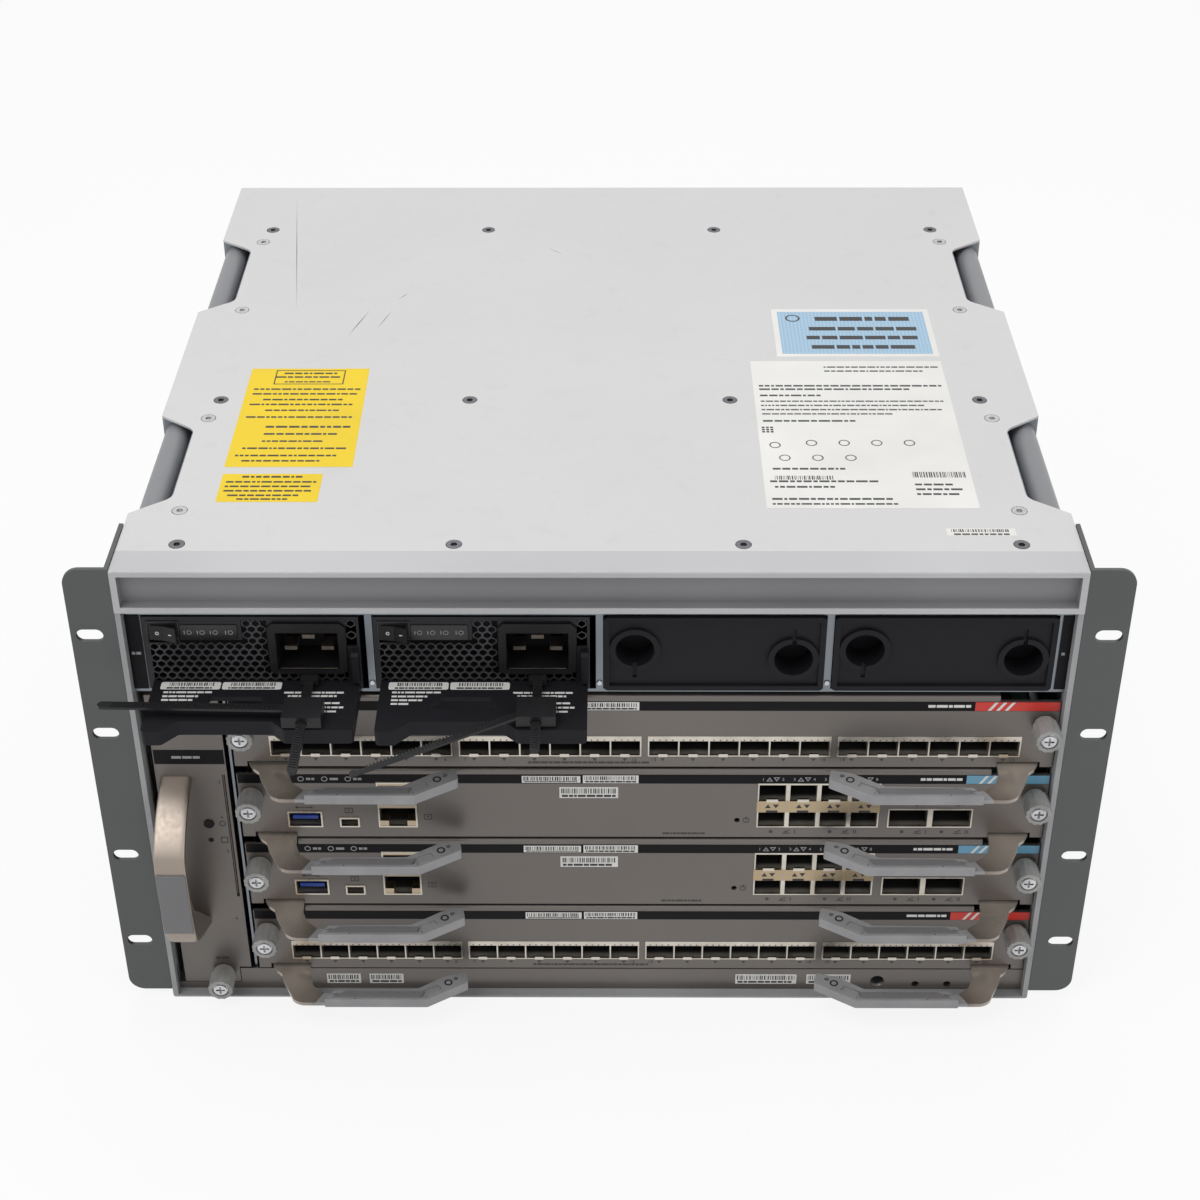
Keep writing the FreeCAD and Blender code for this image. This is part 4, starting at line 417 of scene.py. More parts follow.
def shell_finish():
    """Light paint on the shell, and the faceplates' satin grey on the front lip of its floor."""
    finish = Finish("shell_two_tone")
    up = finish.axis("Z")
    back = finish.axis("Y")
    near, far = (FRONT + (FACE_Y + depth) / 1000 for depth in (-0.3, 1.6))
    lip = back.above(near) * (1.0 - back.above(far)) * (1.0 - up.above(LIP_HIGH)) * up.above(LIP_LOW)
    slow, fine = finish.noise(9.0, 3.0), finish.noise(1500.0)
    paint = finish.mottle(slow, linear(150, 151, 153), linear(164, 165, 167))
    satin = finish.mottle(slow, linear(106, 101, 97), linear(118, 113, 109))
    finish.set(Base_Color=finish.blend(lip, paint, satin), Metallic=lip * 0.6,
               Roughness=finish.grey(slow, 0.4, 0.5) - lip * 0.1)
    finish.set(Normal=finish.bump(fine, 2.5e-5))
    return finish.material


def bezel_finish():
    """Light paint on the bezel's frame, and painted shade, a deeper grey, on its recessed panel."""
    low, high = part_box("front_bezel")
    finish = Finish("bezel_paint_and_painted_shade")
    up = finish.axis("Z")
    back = finish.axis("Y")
    between = up.above(low.z + BEZEL_FRAME) * (1.0 - up.above(high.z - BEZEL_FRAME))
    panel = back.above(low.y + 0.0004) * between
    slow = finish.noise(9.0, 3.0)
    frame_paint = finish.mottle(slow, linear(184, 184, 186), linear(194, 194, 196))
    # painted shade: the recessed panel is the frame's light grey darkened as if in shade
    panel_painted_shade = finish.mottle(slow, linear(132, 132, 134), linear(142, 142, 144))
    finish.set(Base_Color=finish.blend(panel, frame_paint, panel_painted_shade),
               Roughness=finish.grey(slow, 0.4, 0.5) + finish.noise(60.0, 5.0) * 0.05)
    finish.set(Normal=finish.bump(finish.noise(1500.0), 2.5e-5))
    return finish.material


print("two-tone lip from", LIP_LOW, "to", LIP_HIGH, "m")

# %% [markdown]
# A CAD node arrives bare. One table gives each node its material: most are shared, and each lever, screw
# and board gets a finish of its own, because their masks depend on where the piece stands.
# %% Paint the CAD nodes
NODE_FINISH = {
    "chassis_shell": shell_finish(), "top_cover": cover_grey, "front_bezel": bezel_finish(),
    "rear_panel": shell_grey, "rack_ear_left": ear_metal, "rack_ear_right": ear_metal,
    "carry_bars": bar_grey, "handle_pans": zinc, "power_bays": zinc, "fan_partition": zinc,
    "right_guides": zinc, "backplane": board_green, "cover_screws": dark_steel,
    "handle_screws": screw_steel, "fan_tray": face_grey, "fan_tray_handle": nickel,
    "fan_tray_thumbscrew": knob_finish("fan_thumbscrew_finish", "fan_tray_thumbscrew"),
}
for n in SLOTS:
    NODE_FINISH[f"slot_{n}_faceplate"] = face_grey
    NODE_FINISH[f"slot_{n}_board"] = board_finish(f"board_{n}_finish", n)
    for side, name in SIDES:
        joint = FACE_RIGHT - JOINT_REACH if side > 0 else FACE_LEFT + JOINT_REACH
        NODE_FINISH[f"slot_{n}_lever_{name}"] = lever_finish(f"lever_{n}_{name}_finish", joint, side)
        screw = f"slot_{n}_thumbscrew_{name}"
        NODE_FINISH[screw] = knob_finish(f"{screw}_finish", screw)
for n in SUPPLIES:
    NODE_FINISH.update({f"supply_{n}_case": supply_black, f"supply_{n}_inlet": black,
                        f"supply_{n}_rocker": black, f"supply_{n}_handle": charcoal,
                        f"supply_{n}_latch": charcoal, f"supply_{n}_retainer_rail": nylon,
                        f"supply_{n}_retainer_clamp": nylon})
for n in (3, 4):
    NODE_FINISH[f"blank_cover_{n}"] = charcoal
for n in (1, 2, 3):
    NODE_FINISH[f"fan_rotor_{n}"] = fan_black
for name, material in NODE_FINISH.items():
    nodes[name].data.materials.clear()
    nodes[name].data.materials.append(material)
print("painted", len(NODE_FINISH), "of", len(nodes))

# %% [markdown]
# ## Building pieces from arrays
# Everything printed or stuck on is a thin closed prism, and there are hundreds of them. A batch gathers
# the corner arrays of many prisms and makes them one mesh, so that a whole faceplate's print is one
# object that rides on its module.
# %% Batches of prisms


class Batch:
    """Many closed shapes that become one piece: corner points, and each face's corner numbers."""

    def __init__(self):
        self.points, self.corners, self.sizes, self.count = [], [], [], 0

    def add(self, points, corners, sizes):
        """Points of a shape, the corner numbers of its faces in one row, and each face's corner count."""
        self.points.append(np.asarray(points, float))
        self.corners.append(np.asarray(corners, int).ravel() + self.count)
        self.sizes.append(np.asarray(sizes, int).ravel())
        self.count += len(points)

    def quads(self, points, faces):
        """A shape whose faces all have four corners."""
        self.add(points, faces, np.full(len(faces), 4))

    def prism(self, outline, low, high, axis="y"):
        """A closed prism: the outline at level low and at level high, two caps, and a quad per side.

        Twice the outline's signed area is the sum of x(k) y(k+1) - x(k+1) y(k). A negative one is
        turned round first, so that the faces always point outwards.
        """
        outline = np.asarray(outline, float)
        x, y = outline.T
        if np.sum(x * np.roll(y, -1) - np.roll(x, -1) * y) < 0:
            outline = outline[::-1]
        total = len(outline)
        a, b = np.tile(outline, (2, 1)).T
        level = np.repeat((float(low), float(high)), total)
        points = np.column_stack({"y": (a, level, b), "z": (a, b, level), "x": (level, a, b)}[axis])
        k = np.arange(total)
        ahead = (k + 1) % total
        sides = np.stack((k, ahead, ahead + total, k + total), axis=1)
        floor, roof = k[::-1], k + total
        if axis == "y":
            floor, roof, sides = floor[::-1], roof[::-1], sides[:, ::-1]
        self.add(points, np.concatenate((floor, roof, sides.ravel())), (total, total, *[4] * total))

    def block(self, x0, y0, z0, x1, y1, z1):
        """A box from its lowest to its highest corner."""
        self.prism([(x0, z0), (x1, z0), (x1, z1), (x0, z1)], y0, y1)

    def piece(self, name, material, body, slot, bevel=0.0):
        """Make the mesh, in metres, and let it ride on its body."""
        corners, sizes = np.concatenate(self.corners), np.concatenate(self.sizes)
        mesh = bpy.data.meshes.new(name)
        mesh.vertices.add(self.count)
        mesh.vertices.foreach_set("co", place(np.vstack(self.points)).ravel())
        mesh.loops.add(len(corners))
        mesh.loops.foreach_set("vertex_index", corners)
        mesh.polygons.add(len(sizes))
        mesh.polygons.foreach_set("loop_start", np.cumsum(sizes) - sizes)
        mesh.shade_flat()
        mesh.update(calc_edges=True)
        mesh.materials.append(material)
        made = bpy.data.objects.new(name, mesh)
        scene.collection.objects.link(made)
        if bevel:
            cutter = made.modifiers.new("bevel", "BEVEL")
            cutter.width, cutter.segments, cutter.limit_method = bevel / 1000.0, 2, "ANGLE"
        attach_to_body(made, body)
        return made


print("a batch holds any number of closed shapes")

# %% [markdown]
# Printed fields have a few outlines in common: rounded rectangles, discs and rings. Each is a formula in
# an angle, worked out for all its corners at once.
# %% Outlines


def rounded(x0, z0, x1, z1, radius, steps=4):
    """Corner points of a rectangle with quarter-circle corners: centre + radius (cos, sin)."""
    turn = np.linspace(0, math.pi / 2, steps + 1)
    corners = ((x1 - radius, z1 - radius, 0), (x0 + radius, z1 - radius, 1),
               (x0 + radius, z0 + radius, 2), (x1 - radius, z0 + radius, 3))
    return np.vstack([np.column_stack((cx + radius * np.cos(turn + quarter * math.pi / 2),
                                       cz + radius * np.sin(turn + quarter * math.pi / 2)))
                      for cx, cz, quarter in corners])


def disc(x, z, radius, steps=16):
    """Corner points of a circle: centre + radius (cos, sin)."""
    turn = np.linspace(0, 2 * math.pi, steps, endpoint=False)
    return np.column_stack((x + radius * np.cos(turn), z + radius * np.sin(turn)))


def ring(batch, x, z, inner, outer, low, high, axis="y", steps=24):
    """A flat washer as a swept square section: radius and height both go round the section."""
    turn = np.linspace(0, 2 * math.pi, steps, endpoint=False)[:, None]
    radius = np.array([inner, outer, outer, inner])[None, :]
    level = np.broadcast_to(np.array([low, low, high, high])[None, :], (steps, 4))
    a, b = x + radius * np.cos(turn), z + radius * np.sin(turn)
    order = {"y": (a, level, b), "z": (a, b, level)}[axis]
    points = np.stack(order, axis=-1).reshape(-1, 3)
    around, section = np.meshgrid(np.arange(steps), np.arange(4), indexing="ij")
    beyond, over = (around + 1) % steps, (section + 1) % 4
    faces = np.stack((around * 4 + section, beyond * 4 + section, beyond * 4 + over, around * 4 + over),
                     axis=-1).reshape(-1, 4)
    batch.quads(points, faces if axis == "z" else faces[:, ::-1])


print("outlines: rounded rectangle, disc, ring")

# %% [markdown]
# Print is numerals, bars or dashes. A numeral comes from the font as a flat curve with thickness, and its
# mesh is copied into the batch. Bars and dashes have random widths from a seeded generator, so that they
# look like print and are the same at every run.
# %% Numerals, bars and dashes
FONT_CAP = 0.7       # height of a numeral in the font, where a line of type is 1


def digits(batch, characters, x, z, height, low, high):
    """Numerals as closed shapes on the front, centred on (x, z): place = centre + font place * scale."""
    curve = bpy.data.curves.new("numeral", "FONT")
    curve.body, curve.size, curve.extrude = characters, 1.0, 0.5
    curve.align_x, curve.align_y, curve.resolution_u = "CENTER", "CENTER", 3
    holder = bpy.data.objects.new("numeral", curve)
    mesh = bpy.data.meshes.new_from_object(holder)
    points, corners = np.empty(len(mesh.vertices) * 3), np.empty(len(mesh.loops), np.int32)
    sizes = np.empty(len(mesh.polygons), np.int32)
    mesh.vertices.foreach_get("co", points)
    mesh.loops.foreach_get("vertex_index", corners)
    mesh.polygons.foreach_get("loop_total", sizes)
    across, up, thick = points.reshape(-1, 3).T
    scale = height / FONT_CAP
    batch.add(np.column_stack((x + across * scale, np.where(thick > 0, high, low), z + up * scale)),
              corners, sizes)
    bpy.data.objects.remove(holder)
    bpy.data.curves.remove(curve)
    bpy.data.meshes.remove(mesh)


def dash(batch, x0, z0, x1, z1, low, high, axis):
    """One rectangle of print."""
    batch.prism([(x0, z0), (x1, z0), (x1, z1), (x0, z1)], low, high, axis)


def bars(batch, seed, x0, z0, x1, z1, low, high, axis="y", fill=0.5, step=0.42):
    """A generic bar pattern: strips of one, two or three steps, from a seeded choice."""
    pick = np.random.default_rng(seed)
    x = x0
    while x < x1 - step:
        width = step * pick.integers(1, 4) * fill
        dash(batch, x, z0, min(x + width, x1), z1, low, high, axis)
        x += width + step * pick.integers(1, 3) * 0.8


def words(batch, seed, x0, z0, x1, height, low, high, axis="y", gap=0.35):
    """A line of small dashes of uneven length, which stands for a line of print."""
    pick = np.random.default_rng(seed)
    x = x0
    while x < x1 - height:
        width = min(height * pick.uniform(0.8, 3.6), x1 - x)
        dash(batch, x, z0, x + width, z0 + height, low, high, axis)
        x += width + height * gap


print("print: numerals, bars, dashes")

# %% [markdown]
# ## Inks, papers and small parts
# Print has few colours, so each ink is one material that many pieces share.
# %% Inks and papers
STRIP, TIN, PRINT, PAPER = "print_ink", "port_tin", "print_ink", "label_paper"
SKIN = 0.09          # thickness of a sticker or a printed field
INK = 0.04           # thickness of the print on a sticker
LAMP_RADIUS = 0.95
ink_white = moulded("print_white", linear(222, 222, 220), rough=0.5)
ink_dark = moulded("print_dark", linear(38, 36, 36), rough=0.5)
ink_red = moulded("print_red", linear(206, 52, 42), rough=0.4)
ink_blue = moulded("print_blue", linear(104, 160, 190), rough=0.4)
ink_yellow = moulded("print_yellow", linear(232, 200, 8), rough=0.45)
ink_pale = moulded("sticker_white", linear(226, 225, 222), rough=0.42)
ink_mark = moulded("print_mark", linear(52, 52, 52), rough=0.5)
ink_faint = moulded("print_faint", linear(150, 150, 152), rough=0.5)
# painted shade of the grip's recessed channel and of the relief of its ribs and arrow
painted_channel_shade = moulded("grip_channel_painted_shade", linear(124, 123, 125), rough=0.42)
painted_relief_shade = moulded("painted_relief_shade", linear(118, 118, 120), rough=0.5)
champagne = rolled("jack_shield", linear(186, 170, 146), rough=0.3, lines=700.0)
gloss_black = moulded("gloss_black", linear(22, 22, 24), rough=0.16)
scuff_grey = moulded("cover_scuff", linear(120, 120, 122), rough=0.6)


def woven(name, colour, pitch):
    """Crossed fine lines: two wave bands multiplied into a check."""
    finish = Finish(name)

    def band(direction):
        """One set of parallel wave lines as a signal."""
        wave = finish.add("ShaderNodeTexWave", {"bands_direction": direction},
                          {"Vector": finish.coords(), "Scale": pitch})
        return finish.add("ShaderNodeRGBToBW", {}, {0: wave})

    first, second = band("X"), band("Y")
    finish.set(Base_Color=finish.blend(first * second, shade(colour, 0.86), shade(colour, 1.18)),
               Roughness=finish.grey(finish.noise(40.0), 0.34, 0.42))
    finish.set(Normal=finish.bump(finish.noise(900.0), 1e-5))
    return finish.material


woven_blue = woven("woven_blue", linear(160, 192, 216), 160.0)
print("materials with the inks:", len(bpy.data.materials))

# %% [markdown]
# ## Floor and light
# A pale sweep and broad soft lamps show metal without hard glints. The camera, and the reflections in
# metal, see the floor and the world as plain white, while the floor still takes the object's shadow.
# %% Studio
WORLD_LIGHT = 0.42   # the world's strength as a light on the object
AIM = (0, 0, 0.1)    # the point that every lamp faces, in metres


def studio_world():
    """White at strength 1 for camera, transmission and glossy rays, and WORLD_LIGHT for the rest."""
    world = bpy.data.worlds.new("studio")
    world.use_nodes = True
    tree = world.node_tree
    tree.nodes.clear()
    path = tree.nodes.new("ShaderNodeLightPath")
    seen = path
    for ray in ("Is Camera Ray", "Is Transmission Ray", "Is Glossy Ray"):
        either = tree.nodes.new("ShaderNodeMath")
        either.operation = "MAXIMUM"
        either.inputs[1].default_value = 0.0
        tree.links.new(path.outputs[ray], either.inputs[0])
        if seen is not path:
            tree.links.new(seen.outputs[0], either.inputs[1])
        seen = either
    strength = tree.nodes.new("ShaderNodeMapRange")
    strength.inputs["To Min"].default_value = WORLD_LIGHT
    strength.inputs["To Max"].default_value = 1.0
    tree.links.new(seen.outputs[0], strength.inputs["Value"])
    background = tree.nodes.new("ShaderNodeBackground")
    background.inputs["Color"].default_value = (1, 1, 1, 1)
    tree.links.new(strength.outputs[0], background.inputs["Strength"])
    output = tree.nodes.new("ShaderNodeOutputWorld")
    tree.links.new(background.outputs[0], output.inputs[0])
    scene.world = world


def lamp(name, watts, size, at):
    """A square area lamp at one point, turned to face the object."""
    data = bpy.data.lights.new(name, "AREA")
    data.energy, data.size = watts, size
    made = bpy.data.objects.new(name, data)
    scene.collection.objects.link(made)
    made.location = at
    made.rotation_euler = (Vector(AIM) - Vector(at)).to_track_quat("-Z", "Y").to_euler()


studio_world()
lamp("top", 18.0, 1.8, (0.1, 0.35, 2.1))
lamp("key", 13.0, 1.2, (-0.9, -0.9, 1.9))
lamp("fill", 5.0, 1.4, (1.3, -1.1, 1.2))

# %% [markdown]
# The floor is a matt pale sheet mixed with a plain white glow that only the camera and mirror-like rays
# see. The share of white lifts the floor to the background's white, and the matt share underneath it
# still darkens where the object keeps the light off, so the soft shadow stays.
# %% Floor


def studio_floor(glow):
    """Matt sheet and white emission, mixed by glow for camera, glossy and transmission rays."""
    finish = Finish("studio_floor", Roughness=0.9)
    tone = finish.noise(3.0, 2.0)
    pale = finish.blend(finish.grey(tone, 0.0, 1.0), (0.90, 0.90, 0.90, 1), (0.93, 0.93, 0.93, 1))
    finish.set(Base_Color=pale, Normal=finish.bump(finish.noise(400.0), 5e-5))
    seen = finish.add("ShaderNodeLightPath", out="Is Camera Ray")
    for ray in ("Is Glossy Ray", "Is Transmission Ray"):
        other = finish.add("ShaderNodeLightPath", out=ray)
        seen = finish.add("ShaderNodeMath", {"operation": "MAXIMUM"}, {0: seen, 1: other})
    white = finish.add("ShaderNodeEmission", {}, {"Color": (1, 1, 1, 1), "Strength": 1.0})
    lit = Signal(finish, finish.shader.outputs[0])
    mixed = finish.add("ShaderNodeMixShader", {}, {0: seen * glow, 1: lit, 2: white})
    output = next(node for node in finish.tree.nodes if node.type == "OUTPUT_MATERIAL")
    finish.feed(output.inputs[0], mixed)
    return finish.material


GLOW, FLOOR_REACH = 0.86, 9
floor_corners = np.array([(-1, -1, 0), (1, -1, 0), (1, 1, 0), (-1, 1, 0)]) * FLOOR_REACH
floor_mesh = bpy.data.meshes.new("floor")
floor_mesh.from_pydata(floor_corners.tolist(), [], [(0, 1, 2, 3)])
floor_mesh.materials.append(studio_floor(GLOW))
floor_object = bpy.data.objects.new("floor", floor_mesh)
scene.collection.objects.link(floor_object)
print("floor", 2 * FLOOR_REACH, "m across")

# %% [markdown]
# ## Module print
# Each faceplate carries a dark strip across its top, a coloured tag at the right end with slanted pale
# stripes, a few stickers, and small marks beside its ports. They are screen printed or glued, so each
# is a field a tenth of a millimetre thick. Lengths along a faceplate are taken from one of its ends, and
# heights from the module's underside.
# %% Strips, tags and stickers
PRINT_OUT, PRINT_IN = FACE_Y - SKIN, FACE_Y + 0.03
ON_FACE, ON_STRIP = (PRINT_OUT, PRINT_IN), (PRINT_OUT - SKIN, PRINT_OUT)
STRIP_LOW, STRIP_HIGH = 33.9, 39.4
TAG_REACH, STRIPES_REACH, STRIPE_PITCH = 40.0, 34.0, 4.0


def attach(body, *parts):
    """Several batches on one body, each given as its batch, name, material, slot and maybe a bevel."""
    for batch, name, material, slot, *bevel in parts:
        batch.piece(f"{body}_{name}", material, body, slot, *bevel)


def strip_print(n, tag_ink):
    """A dark strip along the top, a tag at its right end, and three slanted stripes on the tag."""
    z = SLOT_FLOOR[n]
    strip, tag, stripes = Batch(), Batch(), Batch()
    strip.block(FACE_LEFT + 0.4, PRINT_OUT, z + STRIP_LOW, FACE_RIGHT - 0.4, PRINT_IN, z + STRIP_HIGH)
    tag.block(FACE_RIGHT - TAG_REACH, PRINT_OUT - SKIN, z + 34.1, FACE_RIGHT - 0.4, PRINT_OUT, z + 39.2)
    for k in range(3):
        x = FACE_RIGHT - STRIPES_REACH + STRIPE_PITCH * k
        stripes.prism([(x, z + 34.3), (x + 1.5, z + 34.3), (x + 4.7, z + 39.0), (x + 3.2, z + 39.0)],
                      PRINT_OUT - 2 * SKIN, PRINT_OUT - SKIN)
    words(stripes, n, FACE_RIGHT - 62.0, z + 36.0, FACE_RIGHT - 42.0, 1.5, *ON_STRIP)
    attach(f"module_{n}", (strip, "strip", strip_black, STRIP), (tag, "tag", tag_ink, PRINT),
           (stripes, "tag_stripes", ink_white, PRINT))


def sticker(paper, ink, seed, x0, z0, x1, z1, y, rows=1):
    """A white label with a row of bars and, below it, a line of print, which is taller on two rows."""
    foot, line = (0.42, 0.2) if rows > 1 else (0.3, 0.13)
    tall = z1 - z0
    paper.block(x0, y - SKIN, z0, x1, y, z1)
    bars(ink, seed, x0 + 0.8, z0 + tall * foot, x1 - 0.8, z1 - tall * 0.12, y - SKIN - INK, y - SKIN)
    words(ink, seed + 1, x0 + 1.2, z0 + tall * 0.1, x1 - 1.2, tall * line, y - SKIN - INK, y - SKIN)


def module_stickers(n):
    """Two stickers on the strip, and a third below them on a supervisor."""
    z = SLOT_FLOOR[n]
    paper, ink = Batch(), Batch()
    sticker(paper, ink, 10 * n, -37.2, z + 34.4, -9.0, z + 38.6, PRINT_OUT)
    sticker(paper, ink, 10 * n + 3, -7.8, z + 34.2, 19.0, z + 39.0, PRINT_OUT, 2)
    if n in SUPERVISORS:
        sticker(paper, ink, 10 * n + 5, -19.2, z + 24.8, 9.2, z + 31.6, FACE_Y, 2)
    attach(f"module_{n}", (paper, "stickers", ink_pale, PAPER), (ink, "bars", ink_dark, PRINT))


for n, tag_ink in zip(SLOTS, (ink_red, ink_blue, ink_blue, ink_red)):
    strip_print(n, tag_ink)
    module_stickers(n)
print("strips and stickers on 4 modules")

# %% [markdown]
# ## Marks beside the ports
# The marks are the plain signs that such panels carry: numerals, arrows that point at an upper or a
# lower port, and lamps. A hollow arrow is the band between two similar triangles.
# %% Small signs
HOLLOW = 0.55        # an arrow's inner triangle as a share of the outer one


def triangle(batch, x, z, size, low, high, up=False):
    """A solid arrow: half its base is 0.62 of its height, and its tip points down unless up is set."""
    tip = size if up else -size
    batch.prism([(x - size * 0.62, z), (x + size * 0.62, z), (x, z + tip)], low, high)


def hollow_triangle(batch, x, z, size, low, high, up=True):
    """Three quads between a triangle and the same one shrunk about its middle: m + share (p - m)."""
    outer = np.array([(-0.62, 0.0), (0.62, 0.0), (0.0, 1.0)]) * size
    inner = (outer - outer.mean(axis=0)) * HOLLOW + outer.mean(axis=0)
    quads = np.stack((outer, np.roll(outer, -1, axis=0), np.roll(inner, -1, axis=0), inner), axis=1)
    for quad in quads * (1, 1.0 if up else -1.0) + (x, z):
        batch.prism(quad, low, high)


def frame_box(batch, x0, z0, x1, z1, wall, low, high):
    """A rectangular outline of four thin bars."""
    batch.block(x0, low, z0, x1, high, z0 + wall)
    batch.block(x0, low, z1 - wall, x1, high, z1)
    batch.block(x0, low, z0 + wall, x0 + wall, high, z1 - wall)
    batch.block(x1 - wall, low, z0 + wall, x1, high, z1 - wall)


def lamp_sign(batch, x, z, strokes, low, high):
    """A lamp's dot, then a tick, a base line and one or two upright strokes."""
    batch.prism(disc(x, z, LAMP_RADIUS), low, high)
    x += 6.4
    batch.prism([(x, z + 0.4), (x + 0.9, z - 0.5), (x + 1.2, z - 0.2), (x + 0.3, z + 0.7)], low, high)
    batch.prism([(x + 0.9, z - 0.5), (x + 2.9, z + 1.0), (x + 2.6, z + 1.3), (x + 0.8, z - 0.1)], low, high)
    batch.block(x - 0.6, low, z - 1.2, x + 3.2, high, z - 0.8)
    for k in range(strokes):
        batch.block(x + 5.0 + 1.1 * k, low, z - 1.2, x + 5.5 + 1.1 * k, high, z + 1.1)


print("signs: arrow, hollow arrow, outline, lamp")

# %% [markdown]
# ## Line card ports
# Twenty-four small ports stand in four groups of six. Each mouth has a springy bright tab low in its
# middle, an arrow below it, and the first and last port of a group carry their numbers.
# %% Line card marks
GROUP_SIZE, GROUP_START, GROUP_PITCH = 6, 17.5, 90.1
PORT_PITCH, PORT_LOW, PORT_HIGH = 14.4, 6.9, 15.6


def line_card(n):
    """Marks of 24 ports: port k of a group has its middle at the group's left + (k + 1/2) pitch."""
    z = SLOT_FLOOR[n]
    tabs, marks, ticks = Batch(), Batch(), Batch()
    for group in range(4):
        middle = [FACE_LEFT + GROUP_START + GROUP_PITCH * group + (k + 0.5) * PORT_PITCH
                  for k in range(GROUP_SIZE)]
        for x in middle:
            tabs.block(x - 2.2, FACE_Y - 0.45, z + PORT_LOW - 0.7, x + 2.2, FACE_Y + 0.6, z + PORT_LOW + 1.1)
            triangle(marks, x, z + 5.0, 1.7, *ON_FACE)
            for shift in (-4.6, -1.5, 1.5, 4.6):
                ticks.block(x + shift - 0.35, FACE_Y - 0.16, z + PORT_HIGH + 0.3, x + shift + 0.35,
                            FACE_Y - 0.08, z + PORT_HIGH + 0.9)
        for k, shift in ((0, -4.4), (GROUP_SIZE - 1, 4.4)):
            digits(marks, str(group * GROUP_SIZE + k + 1), middle[k] + shift, z + 4.2, 1.9, *ON_FACE)
    words(marks, 90 + n, -34.0, z + 1.9, 25.0, 1.1, *ON_FACE)
    attach(f"module_{n}", (tabs, "tabs", port_tin, TIN), (marks, "marks", ink_mark, PRINT),
           (ticks, "lip_slots", ink_mark, PRINT))


for n in LINE_CARDS:
    line_card(n)
print("port marks on slots", LINE_CARDS)

# %% [markdown]
# ## Supervisor ports
# A supervisor has eight small ports in four double columns. A brass-coloured bar between the upper and
# the lower row carries arrows for both, and pale numbers stand on the dark strip above.
# %% Supervisor double ports
STACK_LEFT, STACK_PITCH, STACK_WIDTH = FACE_RIGHT - 139.2, 15.0, 12.9
LOW_ROOF, HIGH_FLOOR = 16.0, 23.0
ARROW_OUT, ARROW_IN = FACE_Y - 0.42, FACE_Y - 0.33


def double_ports(n):
    """Four columns, each with a bar, an upper port's tab, a notch and four arrows, and two numbers."""
    z = SLOT_FLOOR[n]
    bar, tabs, arrows, pale = Batch(), Batch(), Batch(), Batch()
    for k in range(4):
        left = STACK_LEFT + STACK_PITCH * k
        x = left + STACK_WIDTH / 2
        bar.block(left - 1.0, FACE_Y - 0.35, z + LOW_ROOF, left + STACK_WIDTH + 0.9, FACE_Y - 0.05,
                  z + HIGH_FLOOR)
        tabs.block(x - 2.8, FACE_Y - 0.6, z + HIGH_FLOOR - 0.4, x + 2.8, FACE_Y + 0.5, z + HIGH_FLOOR + 1.4)
        arrows.block(x - 2.8, ARROW_OUT, z + LOW_ROOF, x + 2.8, ARROW_IN, z + LOW_ROOF + 1.3)
        triangle(arrows, x - 1.9, z + 18.8, 2.3, ARROW_OUT, ARROW_IN, up=True)
        triangle(arrows, x + 1.9, z + 21.0, 2.3, ARROW_OUT, ARROW_IN)
        for shift, foot, up in ((-1.75, 35.4, True), (1.65, 37.9, False)):
            hollow_triangle(pale, x + shift, z + foot, 2.5, *ON_STRIP, up)
        for shift, number in ((-4.8, 2 * k + 1), (4.8, 2 * k + 2)):
            digits(pale, str(number), x + shift, z + 36.6, 1.7, *ON_STRIP)
    attach(f"module_{n}", (bar, "port_bar", port_brass, TIN, 0.12), (tabs, "tabs", port_tin, TIN),
           (arrows, "bar_arrows", ink_dark, PRINT), (pale, "strip_numbers", ink_faint, PRINT))


print("double ports stand", STACK_PITCH, "mm apart")

# %% [markdown]
# Below the ports stand a lamp sign for each, and further left the reset mark: a ring with a short stroke,
# as on a power button. A flat ring is printed here, because the real mark has no depth either.
# %% Supervisor lamps and reset mark
LAMP_SIGNS = ((132.7, 1), (103.9, 2), (68.7, 1), (49.3, 2))  # from the faceplate's right end, and strokes
PORT_LAMPS, RESET_REACH = (62.5, 42.5), 145.0


def supervisor_marks(n):
    """Lamp signs along the bottom, two lamps beside the wide ports, the reset mark and a line of print."""
    z = SLOT_FLOOR[n]
    marks = Batch()
    low, high = ON_FACE
    for reach, strokes in LAMP_SIGNS:
        lamp_sign(marks, FACE_RIGHT - reach, z + 3.5, strokes, low, high)
    for x in (FACE_RIGHT - reach for reach in PORT_LAMPS):
        marks.prism(disc(x, z + 20.6, LAMP_RADIUS), low, high)
        marks.block(x + 2.2, low, z + 19.8, x + 2.7, high, z + 21.6)
    reset = FACE_RIGHT - RESET_REACH
    ring(marks, reset, z + 10.8, 1.25, 1.65, low, high)
    marks.block(reset - 0.2, low, z + 10.9, reset + 0.2, high, z + 13.0)
    words(marks, 70 + n, 31.0, z + 1.7, 52.0, 1.1, low, high)
    attach(f"module_{n}", (marks, "marks", ink_mark, PRINT))


for n in SUPERVISORS:
    double_ports(n)
    supervisor_marks(n)
print("double ports, lamps and reset marks on slots", SUPERVISORS)

# %% [markdown]
# ## Service sockets
# At the left stand a service socket with a blue tongue, a smaller console socket and two network jacks.
# A jack's mouth is stepped: its lower corners are filled so that a plug only fits one way.
# %% Sockets of a supervisor
# left edges of the mouths, then their sizes
SERVICE, CONSOLE, JACK = FACE_LEFT + 23.3, FACE_LEFT + 48.5, FACE_LEFT + 67.5
SERVICE_WIDTH, CONSOLE_WIDTH, JACK_WIDTH, JACK_HEIGHT = 15.7, 8.5, 17.8, 12.9
JACK_FLOORS = (PORT_LOW, 21.0)


